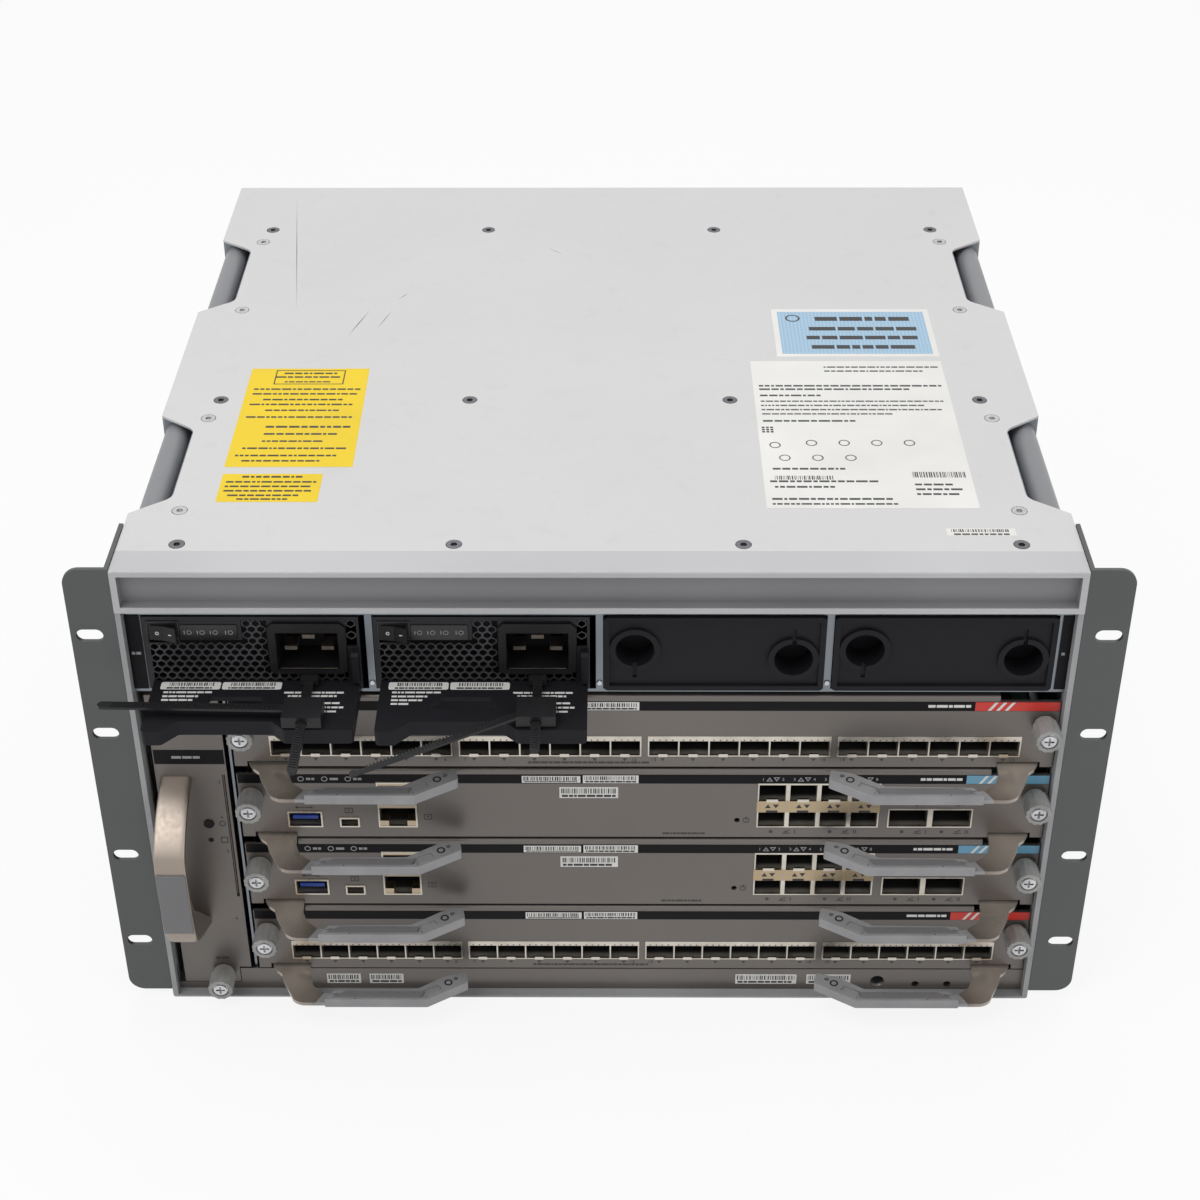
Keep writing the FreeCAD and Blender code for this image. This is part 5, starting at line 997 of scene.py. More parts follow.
def sockets(n):
    """Rims round four mouths, the jacks' stepped corners, the tongue, strip lamps and signs."""
    z = SLOT_FLOOR[n]
    rims, steps, tongue, marks, lamps = Batch(), Batch(), Batch(), Batch(), Batch()
    mouths = [(SERVICE, SERVICE_WIDTH, PORT_LOW, 15.5), (CONSOLE, CONSOLE_WIDTH, PORT_LOW, 11.6)]
    mouths += [(JACK, JACK_WIDTH, floor, floor + JACK_HEIGHT) for floor in JACK_FLOORS]
    for x0, width, z0, z1 in mouths:
        frame_box(rims, x0 - 0.6, z + z0 - 0.6, x0 + width + 0.6, z + z1 + 0.6, 0.75,
                  FACE_Y - 0.5, FACE_Y + 0.4)
    for z0 in JACK_FLOORS:
        for x0, x1 in ((JACK + 0.1, JACK + 4.4), (JACK + 13.4, JACK + 17.7)):
            steps.block(x0, FACE_Y - 0.2, z + z0, x1, FACE_Y + 6.0, z + z0 + 3.4)
        steps.block(JACK + 0.1, FACE_Y - 0.2, z + z0 + 11.4, JACK + 17.7, FACE_Y + 6.0, z + z0 + 12.8)
    tongue.block(SERVICE + 1.6, FACE_Y + 1.0, z + 10.3, SERVICE + 14.1, FACE_Y + 17.0, z + 12.5)
    for k, x in enumerate((FACE_LEFT + 30.8, FACE_LEFT + 42.2, FACE_LEFT + 53.5)):
        ring(lamps, x, z + 36.6, 1.1, 1.55, *ON_STRIP)
        words(lamps, 30 + k, x + 2.6, z + 35.9, x + 6.6, 1.4, *ON_STRIP)
    marks.prism(disc(SERVICE + 4.2, z + 18.6, 0.7), *ON_FACE)
    marks.block(SERVICE + 4.2, PRINT_OUT, z + 18.4, SERVICE + 11.4, PRINT_IN, z + 18.8)
    triangle(marks, SERVICE + 11.4, z + 18.0, 1.2, *ON_FACE, up=True)
    for x, level in ((CONSOLE + 4.2, 16.6), (JACK + 23.6, 12.6)):
        frame_box(marks, x - 2.0, z + level - 1.6, x + 2.0, z + level + 1.6, 0.4, *ON_FACE)
        triangle(marks, x, z + level + 0.5, 1.1, *ON_FACE)
    attach(f"module_{n}", (rims, "socket_rims", port_tin, TIN), (steps, "jack_steps", champagne, TIN),
           (tongue, "service_tongue", usb_blue, PRINT, 0.2), (lamps, "strip_lamps", ink_faint, PRINT),
           (marks, "socket_marks", ink_mark, PRINT))


for n in SUPERVISORS:
    sockets(n)
print("sockets on slots", SUPERVISORS)

# %% [markdown]
# ## Lever grips
# The moulded grip carries five small ribs along its channel and an arrow that shows the way it swings.
# They are marks of the mould, shown as thin fields of painted shade a little darker than the grip for their
# relief, and the channel is a darker field of painted shade.
# Their places are taken from the lever's pivot, towards the middle of the faceplate and to the front.
# %% Grip marks
GRIP_TOP = 4.4                           # the grip's upper face above the module's underside
PIVOT_REACH, PIVOT_DEPTH = 18.0, 9.6     # the pivot from the faceplate's end and behind the front plane


def grip_marks(n, side, name):
    """A channel, five ribs and an arrow as fields of painted shade, and three eyes, each mirrored by side: x
    = pivot - side * place.
    """
    pivot = FACE_RIGHT - PIVOT_REACH if side > 0 else FACE_LEFT + PIVOT_REACH
    marks, eyes, channel = Batch(), Batch(), Batch()
    top = SLOT_FLOOR[n] + GRIP_TOP

    def shape(points, low=0.0, high=0.08, into=marks):
        """A flat prism on the grip's top, from places given for the left or the right lever alike."""
        into.prism([(pivot - side * x, PIVOT_DEPTH + y) for x, y in points], top + low, top + high, "z")

    # painted shade: a darker field for the recessed channel; the ribs and the arrow below are the shade of
    # their relief
    shape([(21.5, -29.4), (66.5, -29.4), (68.5, -25.0), (28.5, -25.0)], -0.02, 0.03, into=channel)
    for x in (31.0, 39.0, 47.0, 55.0, 63.0):
        shape([(x - 0.9, -26.1), (x + 0.9, -26.1), (x + 0.9, -25.4), (x - 0.9, -25.4)])
    shape([(21.0, -27.4), (25.2, -28.6), (25.2, -26.2)])
    ring(eyes, pivot - side * 80.0, PIVOT_DEPTH - 19.0, 1.3, 2.1, top, top + 0.1, axis="z")
    for x, y in ((69.5, -28.9), (34.0, -30.0)):
        shape(disc(x, y, 0.32, 8), into=eyes)
    attach(f"lever_{n}_{name}", (marks, "ribs", painted_relief_shade, "grip_plastic"), (eyes, "dots", ink_dark, PRINT),
           (channel, "channel", painted_channel_shade, "grip_plastic"))


for n in SLOTS:
    for side, name in SIDES:
        grip_marks(n, side, name)
print("grip marks on 8 levers")

# %% [markdown]
# ## Fan tray front
# The fan tray has a dark strip at its top, a push button with a lamp under it, the numbers of the slots
# beside it, and a pull handle whose front is filled by a grey insert. The insert follows the handle's
# slanted front face.
# %% Fan tray details
FAN_LEFT, FAN_RIGHT = (corner.x * 1000 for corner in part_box("fan_tray"))
HANDLE_LEFT, HANDLE_RIGHT = (corner.x * 1000 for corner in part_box("fan_tray_handle"))
BUTTON_Z, LIGHT_Z, BUTTON_REACH = 113.0, 102.5, 11.8     # heights, and distance from the tray's right edge
SLOT_NUMERALS = ((139.0, "2"), (95.0, "3"), (50.0, "4"))   # height of each, and the slot beside it
INSERT_TOP, INSERT_LOW = 112.0, 73.5

strip, controls, light, marks, insert = (Batch() for _ in range(5))
strip.block(FAN_LEFT + 0.5, PRINT_OUT, 150.5, FAN_RIGHT - 0.5, PRINT_IN, 159.2)
words(light, 5, FAN_LEFT + 9.0, 154.0, FAN_LEFT + 24.0, 1.5, *ON_STRIP)
controls.prism(disc(FAN_RIGHT - BUTTON_REACH, BUTTON_Z, 2.6, 24), FACE_Y - 0.7, FACE_Y + 0.2)
controls.prism(disc(FAN_RIGHT - BUTTON_REACH, LIGHT_Z, 1.4, 16), FACE_Y - 0.25, FACE_Y + 0.2)
ring(marks, FAN_RIGHT - 5.2, BUTTON_Z, 1.2, 1.7, *ON_FACE)
triangle(marks, FAN_RIGHT - 5.2, BUTTON_Z + 3.6, 1.4, *ON_FACE, up=True)
frame_box(marks, FAN_RIGHT - 7.0, 100.6, FAN_RIGHT - 3.4, 104.4, 0.5, *ON_FACE)
words(marks, 8, FAN_LEFT + 17.0, 22.0, FAN_LEFT + 24.0, 1.5, *ON_FACE)
for level, number in SLOT_NUMERALS:
    digits(marks, number, FAN_RIGHT - 4.3, level, 2.0, *ON_FACE)
insert.prism([(-31.75, INSERT_TOP), (-30.15, INSERT_LOW), (-28.6, INSERT_LOW), (-30.2, INSERT_TOP)],
             HANDLE_LEFT + 0.35, HANDLE_RIGHT - 0.35, "x")
attach("fan_tray", (strip, "strip", strip_black, STRIP), (controls, "button", charcoal, "black_plastic", 0.2),
       (light, "strip_print", ink_faint, PRINT), (marks, "marks", ink_mark, PRINT),
       (insert, "handle_insert", panel_grey, "grip_plastic", 0.4))
print("fan tray: strip, button, lamp, insert")

# %% [markdown]
# The pull handle is a bent and polished metal bow with a deep lower leg. Its outer and inner outlines
# are quadratic curves that start at the same corners as the simpler handle it stands for, and a rounded
# section is stretched between the two at every station, so that the bow has soft edges all round.
# %% Bowed handle
BOW_OUTER = [(5.5, 143.0), (-12.0, 136.8), (-26.6, 125.4), (-31.6, 118.0), (-29.6, 71.0),
             (-23.0, 59.4), (5.5, 46.0)]
BOW_INNER = [(5.5, 139.2), (-11.2, 133.4), (-24.6, 122.4), (-28.2, 117.0), (-26.2, 86.7),
             (-10.3, 70.2), (5.5, 51.5)]


def soft_line(points, rounds=3):
    """Chaikin's rule: cut each corner at a quarter and three quarters, which nears a quadratic curve."""
    points = np.array(points, float)
    for _ in range(rounds):
        here, ahead = points[:-1], points[1:]
        cut = np.stack((here * 0.75 + ahead * 0.25, here * 0.25 + ahead * 0.75), axis=1).reshape(-1, 2)
        points = np.vstack((points[:1], cut, points[-1:]))
    return points


def bow(batch, left, right, sides=32, power=0.3):
    """Section x = w/2 sgn(cos a)|cos a|^p, share = (1 + sgn(sin a)|sin a|^p)/2 between the outlines."""
    outer, inner = soft_line(BOW_OUTER), soft_line(BOW_INNER)
    angle = np.arange(sides) / sides * 2 * math.pi
    width = np.sign(np.cos(angle)) * np.abs(np.cos(angle)) ** power * (right - left) / 2
    share = (1 + np.sign(np.sin(angle)) * np.abs(np.sin(angle)) ** power) / 2
    depth = inner[:, None, :] * (1 - share[None, :, None]) + outer[:, None, :] * share[None, :, None]
    across = np.broadcast_to((left + right) / 2 + width, depth.shape[:2])
    points = np.stack((across, depth[..., 0], depth[..., 1]), axis=-1).reshape(-1, 3)
    stations = len(outer) - 1
    row, side = (grid.ravel() for grid in np.meshgrid(np.arange(stations), np.arange(sides), indexing="ij"))
    ahead = (side + 1) % sides
    skin = np.stack((row * sides + side, (row + 1) * sides + side, (row + 1) * sides + ahead,
                     row * sides + ahead), axis=1)
    batch.quads(points, skin)
    caps = np.concatenate((np.arange(sides), np.arange(sides)[::-1] + stations * sides))
    batch.corners.append(caps)
    batch.sizes.append(np.array([sides, sides]))


bow_batch = Batch()
bow(bow_batch, HANDLE_LEFT, HANDLE_RIGHT)
handle_piece = bow_batch.piece("fan_tray_bow", nickel, "fan_tray", "handle_nickel")
handle_piece.data.polygons.foreach_set("use_smooth", (np.concatenate(bow_batch.sizes) == 4).tolist())
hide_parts("fan_tray_handle")
print("bowed handle", len(handle_piece.data.polygons), "faces")

# %% [markdown]
# ## Power supply mesh
# The front of a power supply is sheet steel punched with a honeycomb so fine that the webs between the
# holes are under a millimetre. In a lattice with pitch p along a row and r between rows, each hole's
# cell is the hexagon with corners (0, r/2 + p*p/8r) and (p/2, r/2 - p*p/8r). The web of a cell is the
# band between that hexagon and the same one shrunk about its centre, and all the bands are one array.
# %% Honeycomb
HOLE_PITCH, HOLE_ROW, HOLE_SHARE = 4.35, 3.3, 0.78


def honeycomb(batch, centres, front, back):
    """Closed bands between each lattice hexagon and its hole, for an array of centres."""
    half, rise = HOLE_PITCH / 2, HOLE_PITCH ** 2 / (8 * HOLE_ROW)
    tip, side = HOLE_ROW / 2 + rise, HOLE_ROW / 2 - rise
    cell = np.array([(0, tip), (-half, side), (-half, -side), (0, -tip), (half, -side), (half, side)])
    flat = centres[:, None, None, :] + np.stack((cell, cell * HOLE_SHARE))[None]
    layers = [np.insert(flat, 1, float(y), axis=-1) for y in (front, back)]
    points = np.stack(layers, axis=1).reshape(-1, 3)
    k = np.arange(6)
    j = (k + 1) % 6
    outer, inner, outer_back, inner_back = k, k + 6, k + 12, k + 18
    quads = np.concatenate((
        np.stack((outer, outer[j], inner[j], inner), axis=1),
        np.stack((outer_back[j], outer_back, inner_back, inner_back[j]), axis=1),
        np.stack((inner, inner[j], inner_back[j], inner_back), axis=1),
        np.stack((outer[j], outer, outer_back, outer_back[j]), axis=1)))
    batch.quads(points, (quads[None] + 24 * np.arange(len(centres))[:, None, None]).reshape(-1, 4))


def lattice(x0, z0, x1, z1):
    """Hole centres in a rectangle, with every other row moved by half a pitch."""
    rows = np.arange(int((z1 - z0) / HOLE_ROW) + 1)
    columns = np.arange(int((x1 - x0) / HOLE_PITCH) + 1)
    row, column = (grid.ravel() for grid in np.meshgrid(rows, columns, indexing="ij"))
    x, z = x0 + (column + 0.5 * (row % 2)) * HOLE_PITCH, z0 + row * HOLE_ROW
    return np.column_stack((x, z))[x <= x1 + 0.1]


print("honeycomb webs about", round(HOLE_PITCH * (1 - HOLE_SHARE), 2), "mm")

# %% [markdown]
# The mesh front stands for the simpler punched front of the CAD case, which stays in the scene, hidden.
# Plain sheet closes the front round the mesh, the inlet and the switch. Places on a supply are taken from
# its lower left corner, to the right and up.
# %% Supply case with a fine front
CASE_DEPTH, CASE_WALL = 282.0, 1.2
FRONT_SHEET = ((0, 0, 99.4, 2.3), (0, 38.9, 99.4, 41.0), (0, 2.3, 2.5, 38.9), (98.2, 2.3, 99.4, 38.9),
               (57.2, 9.2, 59.6, 38.9), (91.0, 9.2, 93.4, 38.9), (59.6, 9.2, 91.0, 10.7),
               (59.6, 34.2, 91.0, 38.9), (2.5, 28.0, 45.4, 38.9), (93.0, 2.3, 98.2, 24.6))
CASE_SHEET = ((0, 0, 1.2, 41.0), (98.2, 0, 99.4, 41.0), (1.2, 0, 98.2, 1.2), (1.2, 39.8, 98.2, 41.0))


def supply_corner(n):
    """Lower left corner of a supply's case, in millimetres."""
    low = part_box(f"supply_{n}_case")[0]
    return low.x * 1000, low.z * 1000


def supply_front(n):
    """Honeycomb where nothing else stands, sheet round it, a bulkhead behind it, and the case's walls."""
    x0, z0 = supply_corner(n)
    mesh, plate = Batch(), Batch()
    holes = lattice(4.4, 4.2, 96.8, 37.4)
    x, z = holes.T
    switch = (x < 45.8) & (z > 27.2)
    inlet = (x > 55.6) & (x < 94.8) & (z > 8.4)
    corner = (x > 92.5) & (z < 25.5)
    honeycomb(mesh, holes[~(switch | inlet | corner)] + (x0, z0), FACE_Y, FACE_Y + 0.8)
    for ax, az, bx, bz in FRONT_SHEET:
        plate.block(x0 + ax, FACE_Y - 0.02, z0 + az, x0 + bx, FACE_Y + CASE_WALL, z0 + bz)
    plate.block(x0 + CASE_WALL, FACE_Y + 16.0, z0 + CASE_WALL, x0 + 57.0, FACE_Y + 17.0, z0 + 39.8)
    for ax, az, bx, bz in CASE_SHEET:
        plate.block(x0 + ax, FACE_Y + CASE_WALL, z0 + az, x0 + bx, FACE_Y + CASE_DEPTH, z0 + bz)
    mesh.piece(f"supply_{n}_mesh", mesh_steel, f"supply_{n}", "supply_steel")
    skin = plate.piece(f"supply_{n}_sheet", supply_black, f"supply_{n}", "supply_steel")
    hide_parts(f"supply_{n}_case")
    print("supply", n, "mesh cells", mesh.count // 24)


print("case sheet", CASE_WALL, "mm thick,", CASE_DEPTH, "mm deep")

# %% [markdown]
# Beside the mesh sit a glossy switch panel with four small signs, a frame round the rocker switch, and
# three flat pins in the inlet. The rocker's own two signs ride on the rocker, so they tilt with it.
# %% Switch panel, inlet pins and rocker signs


def supply_fittings(n):
    """A rounded panel, a frame, ring signs, three pins, a painted highlight along the inlet's lower edge and
    the rocker's signs.
    """
    x0, z0 = supply_corner(n)
    panel, icons, pins, sign = Batch(), Batch(), Batch(), Batch()
    panel.prism(rounded(x0 + 17.2, z0 + 28.3, x0 + 43.6, z0 + 36.7, 1.0), FACE_Y - 0.5, FACE_Y)
    frame_box(panel, x0 + 1.9, z0 + 26.1, x0 + 17.0, z0 + 38.8, 0.7, FACE_Y - 0.6, FACE_Y)
    for x in (21.4, 27.4, 33.4, 40.4):
        ring(icons, x0 + x, z0 + 32.5, 0.9, 1.2, FACE_Y - 0.56, FACE_Y - 0.5, steps=12)
        icons.block(x0 + x - 2.4, FACE_Y - 0.56, z0 + 31.5, x0 + x - 2.0, FACE_Y - 0.5, z0 + 33.5)
    for x, z in ((66.75, 19.5), (75.25, 26.0), (83.75, 19.5)):
        pins.block(x0 + x - 2.85, FACE_Y + 3.9, z0 + z - 0.05, x0 + x + 2.85, FACE_Y + 12.0, z0 + z + 2.05)
    # painted highlight: a thin bright nickel line stands for light along the inlet's lower edge
    pins.block(x0 + 62.0, FACE_Y - 1.66, z0 + 12.7, x0 + 88.5, FACE_Y - 1.5, z0 + 13.1)
    ring(sign, x0 + 6.8, z0 + 32.5, 0.55, 0.85, FACE_Y - 1.42, FACE_Y - 0.9, steps=14)
    sign.block(x0 + 12.2, FACE_Y - 2.75, z0 + 32.2, x0 + 13.6, FACE_Y - 2.0, z0 + 32.6)
    attach(f"supply_{n}", (panel, "panel", gloss_black, "black_plastic", 0.15),
           (icons, "icons", ink_faint, PRINT), (pins, "pins", nickel, "handle_nickel"))
    attach(f"rocker_{n}", (sign, "signs", ink_white, PRINT))


for n in SUPPLIES:
    supply_front(n)
    supply_fittings(n)
print("fronts, panels, pins and signs on 2 supplies")

# %% [markdown]
# ## Pull tray labels
# The pull tray under each inlet carries two white bar labels at its back edge and a few lines of white
# print at each side of the finger window. Its words are left out: the lines are plain dashes.
# %% Pull tray print
TRAY_LABELS = ((6.0, 33.8), (34.6, 62.2))                # left and right edge of each label
TRAY_LINES = ((8.0, -4.4, 30.5), (8.0, -7.4, 24.5), (8.0, -10.2, 22.5), (8.0, -13.0, 17.0),
              (64.0, -4.6, 92.0), (66.0, -7.2, 90.0), (82.0, -12.4, 92.0), (82.0, -15.6, 92.5),
              (82.0, -18.6, 91.0))                       # left end, depth and right end of each line


def tray_print(n):
    """Two labels with bars and dashes, and nine lines of dashes, on the tray's upper face."""
    x0, top = supply_corner(n)[0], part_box(f"supply_{n}_handle")[1].z * 1000
    paper, ink, white = Batch(), Batch(), Batch()
    low, high = top + SKIN, top + SKIN + INK
    for k, (left, right) in enumerate(TRAY_LABELS):
        paper.prism(rounded(x0 + left, -1.6, x0 + right, 3.9, 1.0), top, low, "z")
        bars(ink, 40 + 2 * n + k, x0 + left + 4.0, 1.0, x0 + right - 3.0, 3.4, low, high, "z")
        words(ink, 50 + 2 * n + k, x0 + left + 3.0, -1.1, x0 + right - 3.0, 1.1, low, high, "z")
    for k, (left, y, right) in enumerate(TRAY_LINES):
        words(white, 60 + k, x0 + left, y, x0 + right, 1.3, top, top + 0.05, "z")
    attach(f"supply_{n}", (paper, "tray_labels", ink_pale, PAPER), (ink, "tray_bars", ink_dark, PRINT),
           (white, "tray_print", ink_white, PRINT))


for n in SUPPLIES:
    tray_print(n)
print("pull tray print on 2 supplies")

# %% [markdown]
# ## Cord strap teeth
# A cord strap is a toothed nylon tie: slanted ridges along its upper side catch the clamp's pawl. The
# ridges are slanted prisms at a fixed pitch along the rail and along the strap's loose tail.
# %% Strap teeth
RAIL_MIDDLE, STRAP_WIDTH = 75.25, 3.4    # the rail's middle from the supply's left side
RAIL_TOP, TAIL_TOP = 8.6, 10.5           # upper faces above the supply's underside


def teeth(batch, start, end, width, top, pitch=1.7, lean=0.9):
    """Slanted ridges across a strap: foot = start + step * along, corners = foot +- across * width / 2."""
    start, end = np.array(start, float), np.array(end, float)
    length = np.linalg.norm(end - start)
    along = (end - start) / length
    across = np.array([-along[1], along[0]])
    for step in np.arange(1.2, length - 1.5, pitch):
        foot = start + along * step
        corners = [foot - across * width / 2, foot - across * width / 2 + along * 0.8,
                   foot + across * width / 2 + along * (0.8 + lean), foot + across * width / 2 + along * lean]
        batch.prism(corners, top - 0.05, top + 0.35, "z")


def strap_teeth(n, reach, tail_start, tail_end):
    """Teeth along a rail of that reach, and along the loose tail between two points."""
    x0, z0 = supply_corner(n)
    rail, loose = Batch(), Batch()
    middle = x0 + RAIL_MIDDLE
    teeth(rail, (middle, -2.0), (middle, -reach + 2.0), STRAP_WIDTH, z0 + RAIL_TOP)
    teeth(loose, (x0 + tail_start[0], tail_start[1]), (x0 + tail_end[0], tail_end[1]), STRAP_WIDTH,
          z0 + TAIL_TOP)
    rail.piece(f"supply_{n}_rail_teeth", nylon, f"supply_{n}", "nylon")
    loose.piece(f"supply_{n}_strap_teeth", nylon, f"clamp_{n}", "nylon")


strap_teeth(1, 66.0, (65.0, -22.4), (-14.0, -20.3))
strap_teeth(2, 51.0, (64.5, -28.4), (1.0, -66.0))
print("teeth on 2 rails and 2 straps")

# %% [markdown]
# ## Chassis front
# Beside the power bays stand narrow black strips with a small mark, rivets hold the zinc posts between
# the bays, and the front lip carries bar labels.
# %% Strips, rivets and lip labels
BAY_START, BAY_PITCH, HALF_POST = -209.8, 105.9, 1.65    # left edge of bay 1, bay to bay, half a post
BAY_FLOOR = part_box("blank_cover_3")[0].z * 1000 - 0.3    # a blank cover stands this much above it
# left and right edge of each label on the lip
LIP_LABELS = ((69.8, 101.2), (106.3, 129.0), (-140.5, -123.0), (-118.5, -101.0))

side_strips, faint, rivets, paper, ink, small = (Batch() for _ in range(6))
for left, right in ((-217.0, -210.2), (212.0, 217.0)):
    side_strips.block(left, FACE_Y - 0.2, BAY_FLOOR + 0.2, right, FACE_Y + 0.38, BAY_FLOOR + 42.0)
    words(faint, 3, left + 1.2, BAY_FLOOR + 20.0, right - 0.4, 1.5, FACE_Y - 0.26, FACE_Y - 0.2)
for k in (1, 2, 3):
    rivets.prism(disc(BAY_START + BAY_PITCH * k - HALF_POST, BAY_FLOOR + 3.6, 1.35),
                 FACE_Y - 0.35, FACE_Y + 0.42)
for k, (left, right) in enumerate(LIP_LABELS):
    sticker(paper, ink, 80 + k, left, 5.0, right, 11.6, FACE_Y, 2)
words(small, 12, -200.0, 7.5, -193.0, 1.5, *ON_FACE)
side_strips.piece("bay_side_strips", strip_black, "chassis", STRIP)
faint.piece("bay_side_marks", ink_faint, "chassis", PRINT)
rivets.piece("bay_post_rivets", screw_steel, "chassis", "zinc_steel", bevel=0.25)
paper.piece("lip_labels", ink_pale, "chassis", PAPER)
ink.piece("lip_label_bars", ink_dark, "chassis", PRINT)
small.piece("lip_mark", ink_mark, "chassis", PRINT)
print("chassis front: strips, rivets,", len(LIP_LABELS), "labels")

# %% [markdown]
# ## Labels on the cover
# Glossy labels lie on the top cover. Each is a plain coloured field, and its print is rows of dashes. A
# row is given by where it starts and ends and how far down it stands, as shares of the label, and by its
# height in millimetres.
# %% Cover labels
LABEL_TOP = COVER_TOP + SKIN
ON_LABEL = (LABEL_TOP, LABEL_TOP + INK, "z")
LEFT_ROWS = (
    (0.28, 0.72, 0.06, 1.5), (0.22, 0.78, 0.10, 1.5), (0.30, 0.70, 0.15, 1.2), (0.06, 0.94, 0.23, 1.5),
    (0.06, 0.92, 0.28, 1.5), (0.16, 0.84, 0.34, 1.5), (0.06, 0.90, 0.39, 1.5), (0.20, 0.80, 0.45, 1.4),
    (0.06, 0.94, 0.52, 1.5), (0.24, 0.92, 0.62, 1.8), (0.24, 0.86, 0.69, 1.6), (0.24, 0.72, 0.76, 1.4),
    (0.10, 0.92, 0.83, 1.5), (0.06, 0.88, 0.90, 1.5), (0.12, 0.76, 0.95, 1.4))
SMALL_ROWS = (
    (0.2, 0.8, 0.14, 1.6), (0.05, 0.95, 0.32, 1.4), (0.05, 0.9, 0.48, 1.4), (0.05, 0.94, 0.64, 1.4),
    (0.1, 0.8, 0.8, 1.4), (0.2, 0.7, 0.93, 1.3))
RIGHT_ROWS = (
    (0.38, 0.98, 0.05, 1.3), (0.38, 0.90, 0.08, 1.3), (0.03, 0.97, 0.19, 1.6), (0.03, 0.8, 0.215, 1.6),
    (0.03, 0.34, 0.26, 1.6), (0.03, 0.96, 0.30, 1.2), (0.03, 0.86, 0.33, 1.2), (0.03, 0.94, 0.36, 1.2),
    (0.03, 0.7, 0.39, 1.2), (0.03, 0.5, 0.44, 1.6), (0.05, 0.4, 0.76, 1.6), (0.03, 0.56, 0.84, 1.6),
    (0.05, 0.36, 0.875, 1.6), (0.03, 0.6, 0.95, 1.6), (0.03, 0.62, 0.98, 1.4), (0.72, 0.9, 0.86, 1.6),
    (0.72, 0.95, 0.89, 1.6), (0.72, 0.92, 0.92, 1.6))
EDGE_ROWS = ((0.1, 0.9, 0.92, 1.3),)


def cover_label(name, corners, colour, rows, ink_colour, seed):
    """A label between four corners: a row stands at left + share * width and top - share * depth."""
    field, print_batch = Batch(), Batch()
    corners = np.array(corners, float)
    field.prism(corners, COVER_TOP, LABEL_TOP, "z")
    left, top = corners[:, 0].min(), corners[:, 1].max()
    width, depth = np.ptp(corners[:, 0]), np.ptp(corners[:, 1])
    for k, (start, end, level, tall) in enumerate(rows):
        foot = top - level * depth
        words(print_batch, seed + k, left + start * width, foot, left + end * width, tall, *ON_LABEL, gap=0.5)
    field.piece(name, colour, "chassis", PAPER)
    print_batch.piece(name + "_rows", ink_colour, "chassis", PRINT)


def flat(x0, y0, x1, y1):
    """Corner points of a rectangle on the cover."""
    return [(x0, y0), (x1, y0), (x1, y1), (x0, y1)]


cover_label("cover_label_left", [(-181, 89.5), (-119, 89.6), (-120, 187), (-181, 187)], ink_yellow,
            LEFT_ROWS, ink_dark, 100)
cover_label("cover_label_small", flat(-180.5, 58.2, -132.5, 83.1), ink_yellow, SMALL_ROWS, ink_dark, 130)
cover_label("cover_label_right", flat(78.5, 53, 178, 195), ink_pale, RIGHT_ROWS, ink_mark, 150)
cover_label("cover_label_edge", flat(159.7, 29.7, 191.5, 35.7), ink_pale, EDGE_ROWS, ink_mark, 180)
outline = Batch()
for bar in ((-168, 184.6, -132, 185.2), (-168, 170.4, -132, 171.0), (-168, 170.4, -167.4, 185.2),
            (-132.6, 170.4, -132, 185.2)):
    outline.prism(flat(*bar), *ON_LABEL)
outline.piece("cover_label_left_box", ink_dark, "chassis", PRINT)
print("cover labels: 4 and an outline")

# %% [markdown]
# The label at the back has a pale blue field printed with a fine woven pattern inside a white border.
# Generic circles, squares and bars fill the white label where nothing is written.
# %% Blue label and signs
FIELD_TOP = COVER_TOP + 0.12             # upper face of the blue field
BLUE_LINES = ((116, 240, 168, 4.6), (112, 229, 171, 4.0), (110, 219, 172, 4.0), (112, 208.5, 171, 4.0))
CIRCLES = ((86, 110), (104, 112), (120, 112), (136, 112), (152, 112), (90, 98), (106, 98), (122, 98))
BAR_FIELDS = ((84, 78, 112, 81.5), (150, 80, 176, 85.0), (162, 32.6, 189, 35.0))

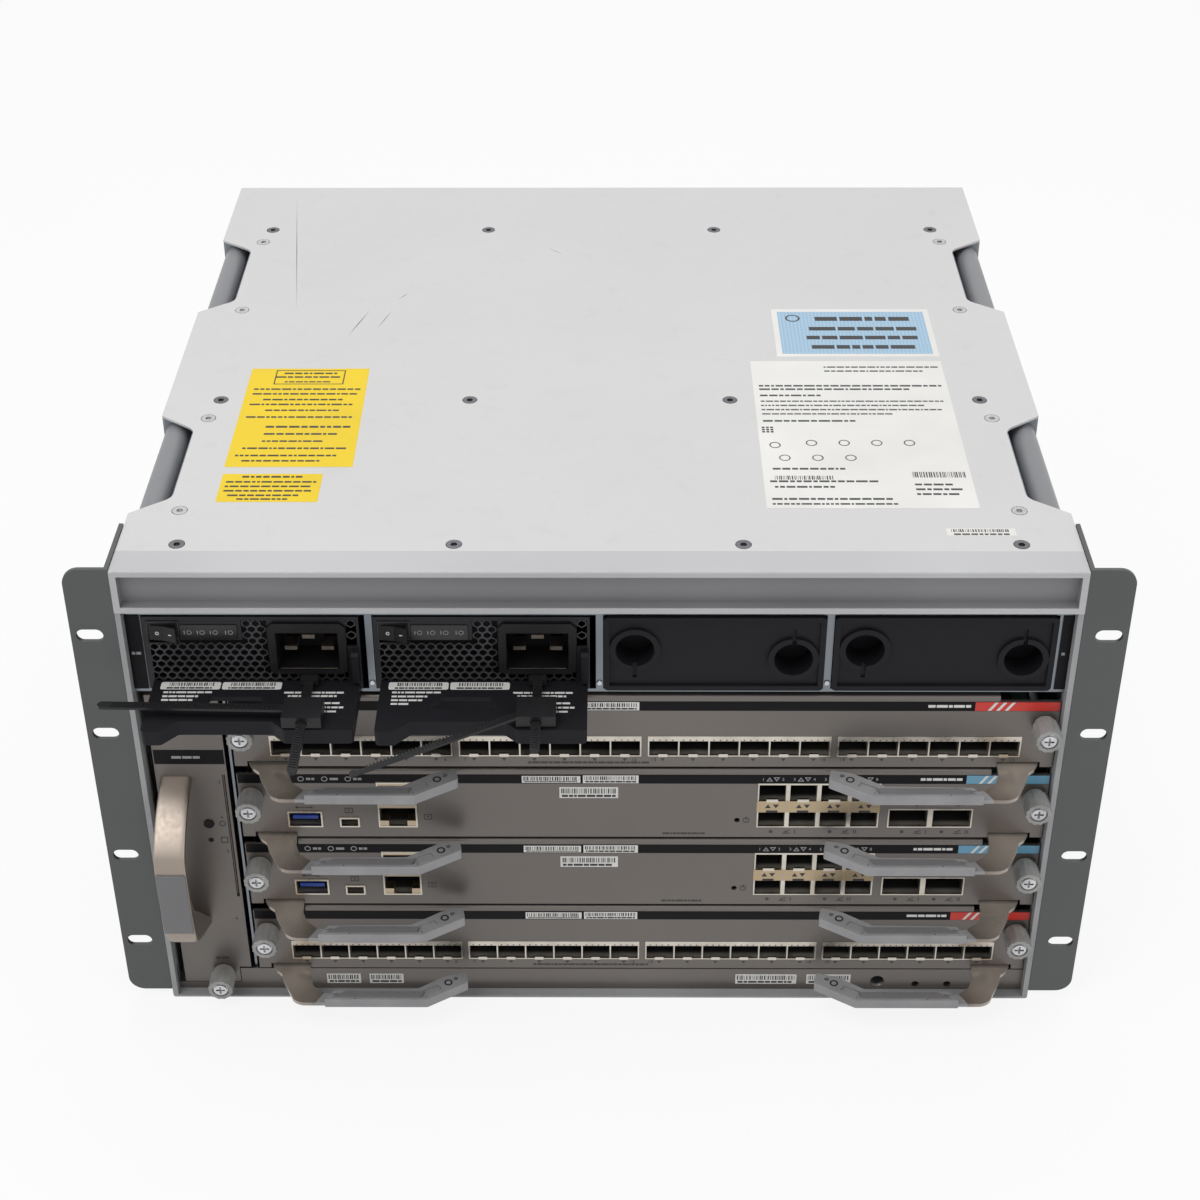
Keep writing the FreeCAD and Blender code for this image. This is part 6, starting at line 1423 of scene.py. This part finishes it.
blue, signs, codes, paper = (Batch() for _ in range(4))
paper.prism(flat(93, 200, 178.2, 253.5), COVER_TOP, LABEL_TOP, "z")
blue.prism(flat(96, 203, 175.2, 250.5), LABEL_TOP, FIELD_TOP, "z")
for k, (left, y, right, tall) in enumerate(BLUE_LINES):
    words(codes, 200 + k, left, y, right, tall, FIELD_TOP, COVER_TOP + 0.15, "z", gap=0.3)
ring(signs, 104, 243, 3.0, 4.0, FIELD_TOP, COVER_TOP + 0.15, axis="z")
for x, y in CIRCLES:
    ring(signs, x, y, 2.2, 2.8, *ON_LABEL)
for k, (x0, y0, x1, y1) in enumerate(BAR_FIELDS):
    bars(codes, 210 + k, x0, y0, x1, y1, *ON_LABEL)
for k in range(9):
    codes.prism(np.array(flat(0, 0, 1.4, 1.4)) + (80.5 + 2.1 * (k % 3), 122 + 2.1 * (k // 3)), *ON_LABEL)
paper.piece("cover_label_back", ink_pale, "chassis", PAPER)
blue.piece("cover_label_back_field", woven_blue, "chassis", PAPER)
signs.piece("cover_label_signs", ink_mark, "chassis", PRINT)
codes.piece("cover_label_codes", ink_dark, "chassis", PRINT)
print("blue label and", len(CIRCLES), "circles")

# %% [markdown]
# ## Wear
# The cover has a few long scuffs from other equipment in the rack. Each is a hair-thin dark sliver.
# %% Scuffs
SCUFFS = (((-184, 399), (-166, 251), 0.5), ((-135, 223), (-126, 253), 0.7), ((-120, 232), (-114, 252), 0.5),
          ((-111.5, 266), (-106.4, 273.5), 0.5), ((-30, 330), (-22, 322), 0.4))  # ends and width


def scuff(batch, start, end, width):
    """A long thin rhombus: its two ends, and its middle moved by half the width to either side."""
    start, end = np.array(start, float), np.array(end, float)
    across = np.array([start[1] - end[1], end[0] - start[0]])
    across = across / np.linalg.norm(across) * width / 2
    middle = (start + end) / 2
    batch.prism([start, middle - across, end, middle + across], COVER_TOP, COVER_TOP + 0.02, "z")


scuffs = Batch()
for start, end, width in SCUFFS:
    scuff(scuffs, start, end, width)
scuffs.piece("cover_scuffs", scuff_grey, "chassis", PRINT)
print("scuffs:", len(SCUFFS))
